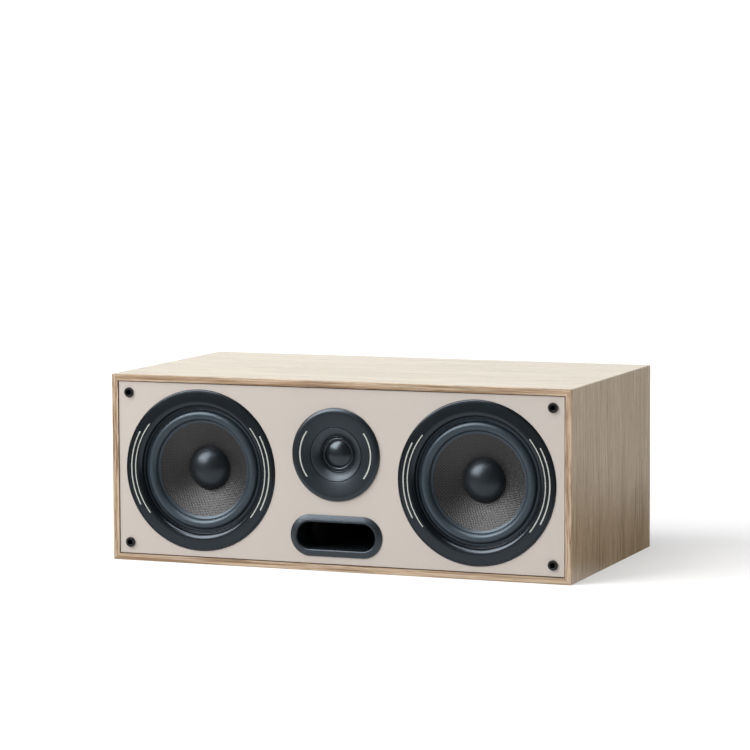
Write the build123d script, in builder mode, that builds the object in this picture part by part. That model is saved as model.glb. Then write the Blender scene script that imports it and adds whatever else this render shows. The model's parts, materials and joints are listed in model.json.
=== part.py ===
from build123d import *
from math import atan, cos, radians, sin
import os

# Center channel speaker: two woofers, a dome tweeter and a slot port in a wood-wrapped cabinet.
# Millimetres, +X to the right seen from the front, +Y to the back, +Z up.
# The origin is the middle of the base. A depth is measured back from the cabinet's front plane.

# Cabinet boards
cabinet_d = 280.0
board_t = 15.0
lip_w = 7.0
edge_round = 0.8
baffle_t = 18.0
baffle_recess = 1.2
baffle_gap = 0.9
back_t = 15.0
back_recess = 0.4
board_fit = 0.1

# Clearances that mating pieces share
turned_fit = 0.3
press_gap = 0.1
coil_gap = 0.5

# Places of the drivers on the baffle
woofer_side_gap = 10.0
woofer_top_gap = 7.5
driver_gap = 20.5
tweeter_top_gap = 21.0
port_bottom_gap = 8.35
port_tweeter_gap = 14.95

# Woofer trim ring, from its outer edge inwards
woofer_trim_r = 85.5
trim_h = 2.0
trim_rim_w = 1.2
trim_rim_h = 1.2
trim_land_w = 10.0
trim_fall = 0.7
trim_wall_w = 6.3
trim_step_w = 1.6
trim_step_d = 5.5
trim_foot_w = 5.1

# Silver arcs let into the trims: half angles and places across a trim's land
accent_w = 1.4
accent_t = 1.3
accent_fit = 0.05
accent_proud = 0.1
inner_arc_angle = 39.5
outer_arc_angle = 29.5
outer_arc_share = 0.47
tweeter_accent_w = 2.3
tweeter_accent_in = 9.0
tweeter_accent_angle = 37.0

# Woofer basket
basket_cover = 2.5
basket_flange_t = 3.6
basket_flange_w = 7.5
basket_wall = 3.0
basket_window_count = 6
basket_window_angle = 44.0
basket_window_edge = 4.5
gasket_t = 0.9
hole_fit = 0.5

# Woofer surround, cone and dust cap
surround_d = 8.5
surround_t = 0.6
gutter_w = 2.8
roll_w = 10.7
surround_lip_w = 5.0
surround_lip_drop = 2.2
cone_d = 17.6
cone_t = 1.0
cone_collar_h = 2.8
dust_cap_r = 23.5
dust_cap_h = 13.0
dust_cap_t = 0.7

# Woofer motor
coil_r = 16.0
former_t = 0.3
coil_t = 0.8
coil_h = 11.0
spider_below_neck = 7.0
spider_r = 49.5
spider_rim_w = 5.5
spider_t = 0.6
spider_wave_h = 1.8
spider_waves = 4
shelf_to_motor = 11.7
woofer_plate_r = 42.0
woofer_plate_t = 6.0
woofer_magnet_r = 45.0
woofer_magnet_bore = 24.0
woofer_magnet_t = 15.0
woofer_yoke_t = 6.0
woofer_vent_r = 4.0
motor_chamfer = 1.0

# Woofer terminal strip
strip_w = 18.0
strip_h = 5.0
strip_t = 1.5
tab_w = 4.8
tab_t = 0.8
tab_l = 10.0
tab_spacing = 10.0

# Driver screws
screw_shank_r = 1.75
screw_head_r = 3.5
screw_l = 20.0
screw_edge = 3.0
woofer_screw_count = 6
tweeter_screw_count = 4

# Tweeter
tweeter_r = 49.0
tweeter_h = 3.2
tweeter_rim_h = 1.1
tweeter_round_w = 5.0
tweeter_fall = 2.4
waveguide_r = 28.5
waveguide_drop = 6.2
flare_in = 0.38
flare_down = 0.46
throat_r = 18.0
waveguide_flange_t = 6.3
waveguide_step_w = 7.5
chassis_cover = 5.0
chassis_flange_t = 4.0
chassis_body_r = 36.0
dome_r = 12.8
dome_h = 4.9
dome_t = 0.3
dome_roll_w = 3.8
dome_roll_h = 1.3
throat_h = 1.6
tweeter_coil_t = 0.4
tweeter_coil_h = 4.2
tweeter_plate_r = 34.0
tweeter_plate_t = 4.0
tweeter_magnet_r = 35.5
tweeter_magnet_bore = 18.0
tweeter_magnet_t = 10.0
tweeter_yoke_t = 5.0
tweeter_vent_r = 3.0

# Slot port
port_w = 103.0
port_h = 43.7
port_rim_w = 7.65
port_proud = 3.2
port_edge_h = 0.8
port_land_w = 1.2
port_inner_round = 0.8
port_wall = 2.4
port_sleeve_l = 22.0
duct_l = 120.0

# Grille sockets
socket_r = 5.25
socket_bore_r = 2.85
socket_proud = 2.0
socket_body_r = 4.2
socket_body_l = 11.0
socket_bore_l = 10.0
socket_edge_x = 13.0
socket_edge_z = 12.5
socket_round = 0.6

# Terminal cup in the back panel
cup_w = 112.0
cup_h = 80.0
cup_flange_t = 2.4
cup_corner_r = 9.0
cup_flange_w = 12.0
cup_depth = 28.0
cup_wall = 2.6
cup_taper = 6.0
cup_screw_in = 6.0
cup_screw_l = 16.0

# Binding posts
post_spacing = 30.0
post_r = 3.0
post_collar_r = 6.2
post_collar_t = 2.0
post_inner_l = 12.0
banana_r = 2.0
banana_l = 17.0
washer_t = 1.2
washer_r = 6.0
knob_r = 6.8
knob_l = 20.0
knob_cap_t = 1.5
knob_flutes = 12
knob_flute_r = 0.9
knob_tip_gap = 0.5
knob_chamfer = 0.8
nut_across = 10.0
nut_t = 4.0

# Crossover on the floor of the cabinet
xover_w = 120.0
xover_l = 70.0
xover_t = 1.6
xover_side_gap = 27.5
xover_y = 15.0
standoff_r = 3.5
standoff_h = 8.0
standoff_in = 6.0
low_coil_share = 0.35
low_coil_h = 26.0
high_coil_share = 0.25
high_coil_h = 16.0
spool_flange = 1.6
spool_lip = 2.0
spool_bore = 5.0
capacitor_share = 0.15
capacitor_l = 34.0
resistor_w = 9.0
resistor_l = 38.0

# Damping wadding and inside leads
wadding_w = 150.0
wadding_t = 35.0
wadding_h = 150.0
wadding_round = 8.0
lead_r = 2.0
lead_bend = 12.0
lead_end_gap = 0.2
tab_exit_l = 55.0
stud_exit_l = 30.0
yoke_exit_l = 50.0
input_swing = 45.0
input_drop = 40.0
input_run = 20.0
right_run = 20.0
right_land = 12.0
right_dip = 5.0
left_swing = 25.0
left_step = 10.0
left_run = 75.0
tweeter_swing = 35.0
tweeter_drop = 45.0
lead_side = 15.0
lead_hang = 50.0

# Places that follow from the sizes
front_y = -cabinet_d / 2
woofer_x = tweeter_r + driver_gap + woofer_trim_r
cabinet_w = 2 * (woofer_x + woofer_trim_r + woofer_side_gap + lip_w)
woofer_stack = 2 * (lip_w + woofer_top_gap + woofer_trim_r)
middle_gaps = port_bottom_gap + port_tweeter_gap + tweeter_top_gap
middle_stack = 2 * lip_w + middle_gaps + port_h + 2 * tweeter_r
cabinet_h = max(woofer_stack, middle_stack)
woofer_z = cabinet_h / 2
tweeter_z = cabinet_h - lip_w - tweeter_top_gap - tweeter_r
port_z = lip_w + port_bottom_gap + port_h / 2
baffle_back_d = baffle_recess + baffle_t
front_opening_w = cabinet_w - 2 * lip_w
front_opening_h = cabinet_h - 2 * lip_w
inside_w = cabinet_w - 2 * board_t
inside_h = cabinet_h - 2 * board_t
back_face_y = cabinet_d / 2 - back_recess
back_inner_y = back_face_y - back_t

# Woofer radii and depths, from the trim inwards and from the surround backwards
rim_r = woofer_trim_r - trim_rim_w
ridge_r = rim_r - trim_land_w
step_r = ridge_r - trim_wall_w
throat_edge_r = step_r - trim_step_w
recess_r = throat_edge_r + trim_foot_w + turned_fit
roll_r = throat_edge_r - gutter_w
lip_r = roll_r - roll_w
cone_r = lip_r - surround_lip_w
flange_r = woofer_trim_r - basket_cover
basket_r = flange_r - basket_flange_w
flange_back_d = baffle_recess + basket_flange_t
surround_back_d = surround_d + surround_t
ledge_r = roll_r + hole_fit
cone_front_d = surround_back_d + surround_lip_drop + press_gap
neck_r = coil_r + press_gap
neck_d = cone_front_d + cone_d
spider_d = neck_d + spider_below_neck
shelf_d = spider_d + spider_t
motor_d = shelf_d + shelf_to_motor
pole_r = coil_r - former_t - coil_gap
gap_r = coil_r + coil_t + coil_gap
strip_d = shelf_d + basket_wall
tab_end_d = strip_d + strip_t + tab_l
strip_r = spider_r + hole_fit + basket_wall - strip_h / 2
woofer_screw_r = flange_r - screw_edge

# Tweeter depths, from the plate backwards
plate_inner_r = waveguide_r + turned_fit
plate_top_d = baffle_recess - tweeter_h
plate_inner_d = plate_top_d + tweeter_fall
throat_d = plate_inner_d + waveguide_drop
rim_seat_d = throat_d + throat_h
waveguide_back_d = plate_inner_d + waveguide_flange_t
waveguide_foot_r = waveguide_r - waveguide_step_w
rim_r_dome = waveguide_foot_r
tweeter_motor_d = rim_seat_d + dome_t
chassis_r = tweeter_r - chassis_cover
tweeter_magnet_d = tweeter_motor_d + tweeter_plate_t
tweeter_yoke_d = tweeter_magnet_d + tweeter_magnet_t
tweeter_coil_r = dome_r - dome_t
tweeter_pole_r = tweeter_coil_r - coil_gap
tweeter_gap_r = tweeter_coil_r + tweeter_coil_t + coil_gap
tweeter_screw_r = chassis_r - screw_edge - screw_head_r / 2
tweeter_hole_r = chassis_body_r + hole_fit

# Port, terminal and crossover places
port_open_w = port_w - 2 * port_rim_w
port_open_h = port_h - 2 * port_rim_w
sleeve_w = port_open_w + 2 * port_wall
sleeve_h = port_open_h + 2 * port_wall
socket_x = front_opening_w / 2 - socket_edge_x
socket_z = front_opening_h / 2 - socket_edge_z
cup_z = cabinet_h / 2
cup_body_w = cup_w - 2 * cup_flange_w
cup_body_h = cup_h - 2 * cup_flange_w
cup_face_y = back_face_y + cup_flange_t
cup_floor_y = cup_face_y - cup_depth
cup_inner_y = cup_floor_y - cup_wall
washer_y = cup_floor_y + post_collar_t
knob_y = washer_y + washer_t
post_tip_y = knob_y + knob_l - knob_cap_t - knob_tip_gap
post_xs = [-post_spacing / 2, post_spacing / 2]
cup_screw_x = cup_w / 2 - cup_screw_in
cup_screw_z = cup_h / 2 - cup_screw_in
xover_x = inside_w / 2 - xover_side_gap - xover_w / 2
xover_z = board_t + standoff_h
xover_top_z = xover_z + xover_t
low_coil_r = low_coil_share * xover_w / 2 - spool_lip
high_coil_r = high_coil_share * xover_w / 2 - spool_lip
capacitor_r = capacitor_share * xover_w / 2
front_align = (Align.CENTER, Align.CENTER, Align.MAX)
base_align = (Align.CENTER, Align.CENTER, Align.MIN)


def depth_plane(x, z, angle=0.0):
    """Plane through a driver's axis, with radius along its X and depth along its Y."""
    a = radians(angle)
    return Plane(origin=(x, front_y, z), x_dir=(cos(a), 0, sin(a)), z_dir=(-sin(a), 0, cos(a)))


def front_plane(x, z, depth):
    """Plane that faces the listener at a depth, with +X right and +Z up."""
    return Plane(origin=(x, front_y + depth, z), x_dir=(1, 0, 0), z_dir=(0, -1, 0))


def rear_plane(x, z, y):
    """Plane that faces the wall behind the cabinet at a given Y."""
    return Plane(origin=(x, y, z), x_dir=(-1, 0, 0), z_dir=(0, 1, 0))


def driver_axis(x, z):
    """Axis of a driver, pointing back into the cabinet."""
    return Axis((x, front_y, z), (0, 1, 0))


def save(builder, name):
    """Label a finished piece and write its STEP file."""
    builder.part.label = name
    export_step(builder.part, f"parts/{name}.step")


def turned(x, z, corners):
    """Piece turned about a driver's axis from its (radius, depth) corners."""
    with BuildPart() as piece:
        with BuildSketch(depth_plane(x, z)):
            with BuildLine():
                Polyline(*corners, close=True)
            make_face()
        revolve(axis=driver_axis(x, z))
    return piece


def dome_middle(radius, base_d, height):
    """Point halfway along a dome's arc from its rim to its crown, as (radius, depth)."""
    half = atan(height / radius)
    ball = radius / sin(2 * half)
    return (ball * sin(half), base_d - height + ball * (1 - cos(half)))


def arc_band(x, z, middle_angle, half_angle, r, w, d, t):
    """Curved strip about a driver's axis, made apart from the piece that is open."""
    with BuildSketch(depth_plane(x, z, middle_angle + half_angle), mode=Mode.PRIVATE) as section:
        with Locations((r, d + t / 2)):
            Rectangle(w, t)
    axis = driver_axis(x, z)
    return revolve(section.sketch, axis=axis, revolution_arc=2 * half_angle, mode=Mode.PRIVATE)


def accent_bands(x, z, arcs, w, grow=0.0):
    """All the strips of one trim, on its left and right sides, grown for their grooves."""
    bands = []
    for r, half_angle, d in arcs:
        for middle_angle in (0, 180):
            grown = half_angle + grow
            bands.append(arc_band(x, z, middle_angle, grown, r, w + 2 * grow, d - grow,
                                  accent_t + 2 * grow))
    return bands


def cabinet_panel(name, corners):
    """One board of the cabinet: the part of the tube inside a mitred region."""
    with BuildPart() as panel:
        add(carcass.part)
        with BuildSketch(Plane.XZ):
            with BuildLine():
                Polyline(*corners, close=True)
            make_face()
        extrude(amount=cabinet_d, both=True, mode=Mode.INTERSECT)
    save(panel, name)


os.makedirs("parts", exist_ok=True)

# Cabinet tube with its front and rear rebates, cut into four mitred boards
with BuildPart() as carcass:
    with BuildSketch(front_plane(0, cabinet_h / 2, 0)):
        Rectangle(cabinet_w, cabinet_h)
        Rectangle(inside_w, inside_h, mode=Mode.SUBTRACT)
    extrude(amount=-cabinet_d)
    with BuildSketch(front_plane(0, cabinet_h / 2, 0)):
        Rectangle(front_opening_w, front_opening_h)
    extrude(amount=-baffle_back_d, mode=Mode.SUBTRACT)
    with BuildSketch(rear_plane(0, cabinet_h / 2, cabinet_d / 2)):
        Rectangle(front_opening_w, front_opening_h)
    extrude(amount=-(back_recess + back_t), mode=Mode.SUBTRACT)
    outer_ends = carcass.faces().sort_by(Axis.Y)
    end_edges = outer_ends[0].outer_wire().edges() + outer_ends[-1].outer_wire().edges()
    corner_edges = carcass.edges().filter_by(Axis.Y).sort_by(SortBy.LENGTH)[-4:]
    fillet(end_edges + corner_edges, radius=edge_round)

half_w = cabinet_w / 2
mitre_x = half_w - cabinet_h / 2
mitre_z = cabinet_h / 2
top_left = (-half_w, cabinet_h)
top_right = (half_w, cabinet_h)
mitre_left = (-mitre_x, mitre_z)
mitre_right = (mitre_x, mitre_z)
cabinet_panel("top_panel", [top_left, top_right, mitre_right, mitre_left])
cabinet_panel("bottom_panel", [(-half_w, 0), (half_w, 0), mitre_right, mitre_left])
cabinet_panel("left_panel", [top_left, (-half_w, 0), mitre_left])
cabinet_panel("right_panel", [top_right, (half_w, 0), mitre_right])

# Front baffle with its counterbores, pilot holes, socket holes and port slot
woofer_xs = [-woofer_x, woofer_x]
pilot_l = screw_l + hole_fit
pilot_r = screw_shank_r + press_gap
with BuildPart() as front_baffle:
    with BuildSketch(front_plane(0, cabinet_h / 2, baffle_recess)):
        Rectangle(front_opening_w - 2 * baffle_gap, front_opening_h - 2 * baffle_gap)
    extrude(amount=-baffle_t)
    for x in woofer_xs:
        with Locations(front_plane(x, woofer_z, baffle_recess)):
            CounterBoreHole(basket_r + hole_fit, flange_r + hole_fit, basket_flange_t + gasket_t)
            with PolarLocations(woofer_screw_r, woofer_screw_count):
                Hole(pilot_r, depth=pilot_l)
    with Locations(front_plane(0, tweeter_z, baffle_recess)):
        CounterBoreHole(tweeter_hole_r, chassis_r + hole_fit, chassis_flange_t)
        with PolarLocations(tweeter_screw_r, tweeter_screw_count, start_angle=45):
            Hole(pilot_r, depth=pilot_l)
    with Locations(front_plane(0, cabinet_h / 2, baffle_recess)):
        with GridLocations(2 * socket_x, 2 * socket_z, 2, 2):
            Hole(socket_body_r + press_gap, depth=socket_body_l + hole_fit)
    with BuildSketch(front_plane(0, port_z, baffle_recess)):
        SlotOverall(sleeve_w + 2 * press_gap, sleeve_h + 2 * press_gap)
    extrude(amount=-baffle_t, mode=Mode.SUBTRACT)
save(front_baffle, "front_baffle")

# Back panel with the opening for the terminal cup
with BuildPart() as back_panel:
    with BuildSketch(rear_plane(0, cabinet_h / 2, back_face_y)):
        Rectangle(front_opening_w - 2 * board_fit, front_opening_h - 2 * board_fit)
    extrude(amount=-back_t)
    with BuildSketch(rear_plane(0, cup_z, back_face_y)):
        RectangleRounded(cup_body_w + 2 * press_gap, cup_body_h + 2 * press_gap, cup_corner_r)
    extrude(amount=-back_t, mode=Mode.SUBTRACT)
    with Locations(rear_plane(0, cup_z, back_face_y)):
        with GridLocations(2 * cup_screw_x, 2 * cup_screw_z, 2, 2):
            Hole(pilot_r, depth=cup_screw_l)
save(back_panel, "back_panel")


def woofer_trim(side, x):
    """Trim ring that hides the basket's flange, with its silver arcs let in."""
    top_d = baffle_recess - trim_h
    foot_r = throat_edge_r + trim_foot_w
    land_edge = (rim_r, top_d + trim_fall)
    land_middle = ((rim_r + ridge_r) / 2, top_d + trim_fall / 4)
    outer_arc_d = top_d + trim_fall * (1 - outer_arc_share) ** 2 - accent_proud
    arcs = [(ridge_r + accent_w / 2, inner_arc_angle, top_d),
            (rim_r - outer_arc_share * trim_land_w, outer_arc_angle, outer_arc_d)]
    with BuildPart() as trim:
        with BuildSketch(depth_plane(x, woofer_z)):
            with BuildLine():
                Polyline((foot_r, baffle_recess), (woofer_trim_r, baffle_recess),
                         (woofer_trim_r, top_d + trim_rim_h), land_edge)
                ThreePointArc(land_edge, land_middle, (ridge_r, top_d))
                TangentArc((ridge_r, top_d), (step_r, trim_step_d), tangent=(-1, 0))
                Polyline((step_r, trim_step_d), (throat_edge_r, trim_step_d), (throat_edge_r, surround_d),
                         (foot_r, surround_d), (foot_r, baffle_recess))
            make_face()
        revolve(axis=driver_axis(x, woofer_z))
        for groove in accent_bands(x, woofer_z, arcs, accent_w, accent_fit):
            add(groove, mode=Mode.SUBTRACT)
    save(trim, f"{side}_woofer_trim")
    with BuildPart() as accents:
        for band in accent_bands(x, woofer_z, arcs, accent_w):
            add(band)
    save(accents, f"{side}_woofer_accents")


def woofer_basket(side, x):
    """Cast basket: screw flange, surround ledge, windowed wall, spider shelf and motor plate."""
    shelf_r = spider_r + hole_fit
    shelf_in_r = spider_r - spider_rim_w
    wall_top_d = surround_back_d + basket_wall
    shelf_back_d = shelf_d + basket_wall
    floor_d = motor_d - basket_wall
    floor_r = woofer_plate_r - basket_wall
    with BuildPart() as basket:
        with BuildSketch(depth_plane(x, woofer_z)):
            with BuildLine():
                Polyline((flange_r, baffle_recess), (recess_r, baffle_recess), (recess_r, surround_back_d),
                         (ledge_r, surround_back_d), (ledge_r, wall_top_d),
                         (shelf_r, spider_d - basket_wall), (shelf_r, shelf_d), (shelf_in_r, shelf_d),
                         (floor_r, floor_d), (gap_r + coil_gap, floor_d), (gap_r + coil_gap, motor_d),
                         (woofer_plate_r, motor_d),
                         (shelf_in_r + basket_wall, shelf_back_d), (shelf_r + basket_wall, shelf_back_d),
                         (ledge_r + basket_wall, wall_top_d + basket_wall), (basket_r, wall_top_d),
                         (basket_r, flange_back_d), (flange_r, flange_back_d), close=True)
            make_face()
        revolve(axis=driver_axis(x, woofer_z))
        window_in_r = shelf_r + basket_window_edge
        window_out_r = ledge_r - basket_wall / 2
        window_r = (window_in_r + window_out_r) / 2
        window_l = motor_d - surround_back_d
        for k in range(basket_window_count):
            angle = 360 * (k + 0.5) / basket_window_count
            half_angle = basket_window_angle / 2
            add(arc_band(x, woofer_z, angle, half_angle, window_r, window_out_r - window_in_r,
                         surround_back_d, window_l), mode=Mode.SUBTRACT)
        with Locations(front_plane(x, woofer_z, baffle_recess)):
            with PolarLocations(woofer_screw_r, woofer_screw_count):
                CounterSinkHole(pilot_r, screw_head_r + press_gap, depth=basket_flange_t,
                                counter_sink_angle=90)
    save(basket, f"{side}_woofer_basket")


def woofer_surround(side, x):
    """Rubber half-roll with its outer flange and the lip that is glued to the cone."""
    roll_middle_r = (roll_r + lip_r) / 2
    roll_h = roll_w / 2
    lip_end_d = surround_d + surround_lip_drop
    with BuildPart() as surround:
        with BuildSketch(depth_plane(x, woofer_z)):
            with BuildLine():
                foot_r = throat_edge_r + trim_foot_w
                Line((foot_r, surround_d), (roll_r, surround_d))
                ThreePointArc((roll_r, surround_d), (roll_middle_r, surround_d - roll_h), (lip_r, surround_d))
                Polyline((lip_r, surround_d), (cone_r, lip_end_d), (cone_r, lip_end_d + surround_t),
                         (lip_r, surround_back_d), (lip_r + surround_t, surround_back_d))
                ThreePointArc((lip_r + surround_t, surround_back_d),
                              (roll_middle_r, surround_d - roll_h + surround_t),
                              (roll_r - surround_t, surround_back_d))
                Polyline((roll_r - surround_t, surround_back_d), (foot_r, surround_back_d),
                         (foot_r, surround_d))
            make_face()
        revolve(axis=driver_axis(x, woofer_z))
    save(surround, f"{side}_woofer_surround")


def woofer_moving_parts(side, x):
    """Cone with its neck collar, the dust cap on it and the voice coil on its former."""
    slope = cone_d / (cone_r - neck_r)
    rim_d = cone_front_d - surround_lip_drop
    collar_r = neck_r + cone_t
    collar_d = neck_d + cone_collar_h
    cone = turned(x, woofer_z, [
        (lip_r, rim_d), (cone_r, cone_front_d), (neck_r, neck_d), (neck_r, collar_d), (collar_r, collar_d),
        (collar_r, neck_d + cone_t), (cone_r, cone_front_d + cone_t), (lip_r, rim_d + cone_t)])
    save(cone, f"{side}_woofer_cone")
    base_d = cone_front_d + slope * (cone_r - dust_cap_r) - press_gap
    in_r = dust_cap_r - dust_cap_t
    in_h = dust_cap_h - dust_cap_t
    with BuildPart() as dust_cap:
        with BuildSketch(depth_plane(x, woofer_z)):
            with BuildLine():
                crown_d = base_d - dust_cap_h
                ThreePointArc((dust_cap_r, base_d), dome_middle(dust_cap_r, base_d, dust_cap_h), (0, crown_d))
                Line((0, crown_d), (0, base_d - in_h))
                ThreePointArc((0, base_d - in_h), dome_middle(in_r, base_d, in_h), (in_r, base_d))
                Line((in_r, base_d), (dust_cap_r, base_d))
            make_face()
        revolve(axis=driver_axis(x, woofer_z))
    save(dust_cap, f"{side}_woofer_dust_cap")
    coil_end_d = motor_d + woofer_plate_t / 2 + coil_h / 2
    former_r = coil_r - former_t
    wound_r = coil_r + coil_t
    voice_coil = turned(x, woofer_z, [
        (former_r, neck_d), (coil_r, neck_d), (coil_r, coil_end_d - coil_h), (wound_r, coil_end_d - coil_h),
        (wound_r, coil_end_d), (former_r, coil_end_d)])
    save(voice_coil, f"{side}_woofer_voice_coil")


def woofer_spider(side, x):
    """Corrugated spider between the former and the basket's shelf."""
    inner_r = coil_r + turned_fit
    wave_end_r = spider_r - spider_rim_w
    wave_w = (wave_end_r - inner_r) / (2 * spider_waves)
    front = [(spider_r, spider_d)]
    for k in range(2 * spider_waves + 1):
        lift = spider_wave_h if k % 2 else 0.0
        front.append((wave_end_r - k * wave_w, spider_d - lift))
    back = [(r, d + spider_t) for r, d in reversed(front)]
    spider = turned(x, woofer_z, front + back)
    save(spider, f"{side}_woofer_spider")


def motor(prefix, x, z, plate_d, plate_r, plate_t, gap, magnet_r, bore_r, magnet_t, yoke_t, pole, vent_r):
    """Top plate, ring magnet and vented yoke behind a driver."""
    front_d = plate_d + plate_t
    back_d = front_d + magnet_t
    end_d = back_d + yoke_t
    c = motor_chamfer
    plate = turned(x, z, [(gap, plate_d), (plate_r, plate_d), (plate_r, front_d), (gap, front_d)])
    save(plate, f"{prefix}_top_plate")
    magnet = turned(x, z, [(bore_r, front_d), (magnet_r - c, front_d), (magnet_r, front_d + c),
                           (magnet_r, back_d - c), (magnet_r - c, back_d), (bore_r, back_d)])
    save(magnet, f"{prefix}_magnet")
    yoke = turned(x, z, [(vent_r, plate_d), (pole, plate_d), (pole, back_d), (plate_r, back_d),
                         (plate_r, end_d - c), (plate_r - c, end_d), (vent_r, end_d)])
    save(yoke, f"{prefix}_yoke")


for side, x in (("left", -woofer_x), ("right", woofer_x)):
    woofer_trim(side, x)
    woofer_basket(side, x)
    woofer_surround(side, x)
    woofer_moving_parts(side, x)
    woofer_spider(side, x)
    motor(f"{side}_woofer", x, woofer_z, motor_d, woofer_plate_r, woofer_plate_t, gap_r, woofer_magnet_r,
          woofer_magnet_bore, woofer_magnet_t, woofer_yoke_t, pole_r, woofer_vent_r)

# Foam gaskets under the two basket flanges
with BuildPart() as woofer_gaskets:
    for x in woofer_xs:
        with BuildSketch(front_plane(x, woofer_z, flange_back_d)):
            Circle(flange_r)
            Circle(basket_r + hole_fit, mode=Mode.SUBTRACT)
            with PolarLocations(woofer_screw_r, woofer_screw_count):
                Circle(pilot_r, mode=Mode.SUBTRACT)
    extrude(amount=-gasket_t)
save(woofer_gaskets, "woofer_gaskets")

# Solder tab strips on the backs of the spider shelves
with BuildPart() as woofer_terminals:
    for x in woofer_xs:
        with Locations(front_plane(x, woofer_z + strip_r, strip_d)):
            Box(strip_w, strip_h, strip_t, align=front_align)
        with Locations(front_plane(x, woofer_z + strip_r, strip_d + strip_t)):
            with GridLocations(tab_spacing, 1, 2, 1):
                Box(tab_w, tab_t, tab_l, align=front_align)
save(woofer_terminals, "woofer_terminals")

# Countersunk screws that hold the three drivers, hidden under their trims
driver_seats = [(-woofer_x, woofer_z, woofer_screw_r, woofer_screw_count, 0),
                (woofer_x, woofer_z, woofer_screw_r, woofer_screw_count, 0),
                (0, tweeter_z, tweeter_screw_r, tweeter_screw_count, 45)]
with BuildPart() as driver_screws:
    for x, z, circle_r, count, start in driver_seats:
        with Locations(front_plane(x, z, baffle_recess)):
            with PolarLocations(circle_r, count, start_angle=start):
                Cylinder(screw_shank_r, screw_l, align=front_align)
                Cone(screw_shank_r, screw_head_r, screw_head_r - screw_shank_r, align=front_align)
save(driver_screws, "driver_screws")

# Tweeter plate, rounded at its edge and dished to the middle, with its silver arcs
tweeter_axis = driver_axis(0, tweeter_z)
rim_top = (tweeter_r, baffle_recess - tweeter_rim_h)
crown = (tweeter_r - tweeter_round_w, plate_top_d)
accent_r = tweeter_r - tweeter_accent_in
plate_slope = tweeter_fall / (crown[0] - plate_inner_r)
accent_d = plate_top_d + plate_slope * (crown[0] - accent_r) - accent_fit
tweeter_arcs = [(accent_r, tweeter_accent_angle, accent_d)]
with BuildPart() as tweeter_plate:
    with BuildSketch(depth_plane(0, tweeter_z)):
        with BuildLine():
            Line((tweeter_r, baffle_recess), rim_top)
            TangentArc(crown, rim_top, tangent=(1, 0))
            Polyline(crown, (plate_inner_r, plate_inner_d), (plate_inner_r, baffle_recess),
                     (tweeter_r, baffle_recess))
        make_face()
    revolve(axis=tweeter_axis)
    for groove in accent_bands(0, tweeter_z, tweeter_arcs, tweeter_accent_w, accent_fit):
        add(groove, mode=Mode.SUBTRACT)
save(tweeter_plate, "tweeter_plate")
with BuildPart() as tweeter_accents:
    for band in accent_bands(0, tweeter_z, tweeter_arcs, tweeter_accent_w):
        add(band)
save(tweeter_accents, "tweeter_accents")

# Waveguide ring that flares from the throat to the plate and clamps the diaphragm's rim
flare_middle = (throat_r + flare_in * (waveguide_r - throat_r), plate_inner_d + flare_down * waveguide_drop)
with BuildPart() as tweeter_waveguide:
    with BuildSketch(depth_plane(0, tweeter_z)):
        with BuildLine():
            ThreePointArc((waveguide_r, plate_inner_d), flare_middle, (throat_r, throat_d))
            Polyline((throat_r, throat_d), (throat_r, rim_seat_d), (waveguide_foot_r, rim_seat_d),
                     (waveguide_foot_r, waveguide_back_d), (waveguide_r, waveguide_back_d),
                     (waveguide_r, plate_inner_d))
        make_face()
    revolve(axis=tweeter_axis)
save(tweeter_waveguide, "tweeter_waveguide")

# Tweeter chassis: screw flange, seat for the waveguide and mounting face for the motor
chassis_seat_r = waveguide_r + turned_fit
chassis_back_d = baffle_recess + chassis_flange_t
chassis_bore_r = waveguide_foot_r + turned_fit
with BuildPart() as tweeter_chassis:
    with BuildSketch(depth_plane(0, tweeter_z)):
        with BuildLine():
            Polyline((chassis_seat_r, baffle_recess), (chassis_r, baffle_recess), (chassis_r, chassis_back_d),
                     (chassis_body_r, chassis_back_d), (chassis_body_r, tweeter_motor_d),
                     (chassis_bore_r, tweeter_motor_d), (chassis_bore_r, waveguide_back_d),
                     (chassis_seat_r, waveguide_back_d), close=True)
        make_face()
    revolve(axis=tweeter_axis)
    with Locations(front_plane(0, tweeter_z, baffle_recess)):
        with PolarLocations(tweeter_screw_r, tweeter_screw_count, start_angle=45):
            CounterSinkHole(pilot_r, screw_head_r + press_gap, depth=chassis_flange_t,
                            counter_sink_angle=90)
save(tweeter_chassis, "tweeter_chassis")

# Diaphragm: dome, half-roll and clamped rim formed as one piece
roll_end_r = dome_r + dome_roll_w
roll_crest_r = dome_r + dome_roll_w / 2
back_d = rim_seat_d + dome_t
dome_crown_d = rim_seat_d - dome_h
inner_dome_h = dome_h - dome_t
inner_dome_r = dome_r - dome_t
with BuildPart() as tweeter_diaphragm:
    with BuildSketch(depth_plane(0, tweeter_z)):
        with BuildLine():
            Line((rim_r_dome, rim_seat_d), (roll_end_r, rim_seat_d))
            ThreePointArc((roll_end_r, rim_seat_d), (roll_crest_r, rim_seat_d - dome_roll_h),
                          (dome_r, rim_seat_d))
            ThreePointArc((dome_r, rim_seat_d), dome_middle(dome_r, rim_seat_d, dome_h), (0, dome_crown_d))
            Line((0, dome_crown_d), (0, dome_crown_d + dome_t))
            ThreePointArc((0, dome_crown_d + dome_t), dome_middle(inner_dome_r, rim_seat_d, inner_dome_h),
                          (inner_dome_r, rim_seat_d))
            Polyline((inner_dome_r, rim_seat_d), (inner_dome_r, back_d), (dome_r + dome_t, back_d))
            ThreePointArc((dome_r + dome_t, back_d), (roll_crest_r, rim_seat_d - dome_roll_h + dome_t),
                          (roll_end_r - dome_t, back_d))
            Polyline((roll_end_r - dome_t, back_d), (rim_r_dome, back_d), (rim_r_dome, rim_seat_d))
        make_face()
    revolve(axis=tweeter_axis)
save(tweeter_diaphragm, "tweeter_diaphragm")

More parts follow.
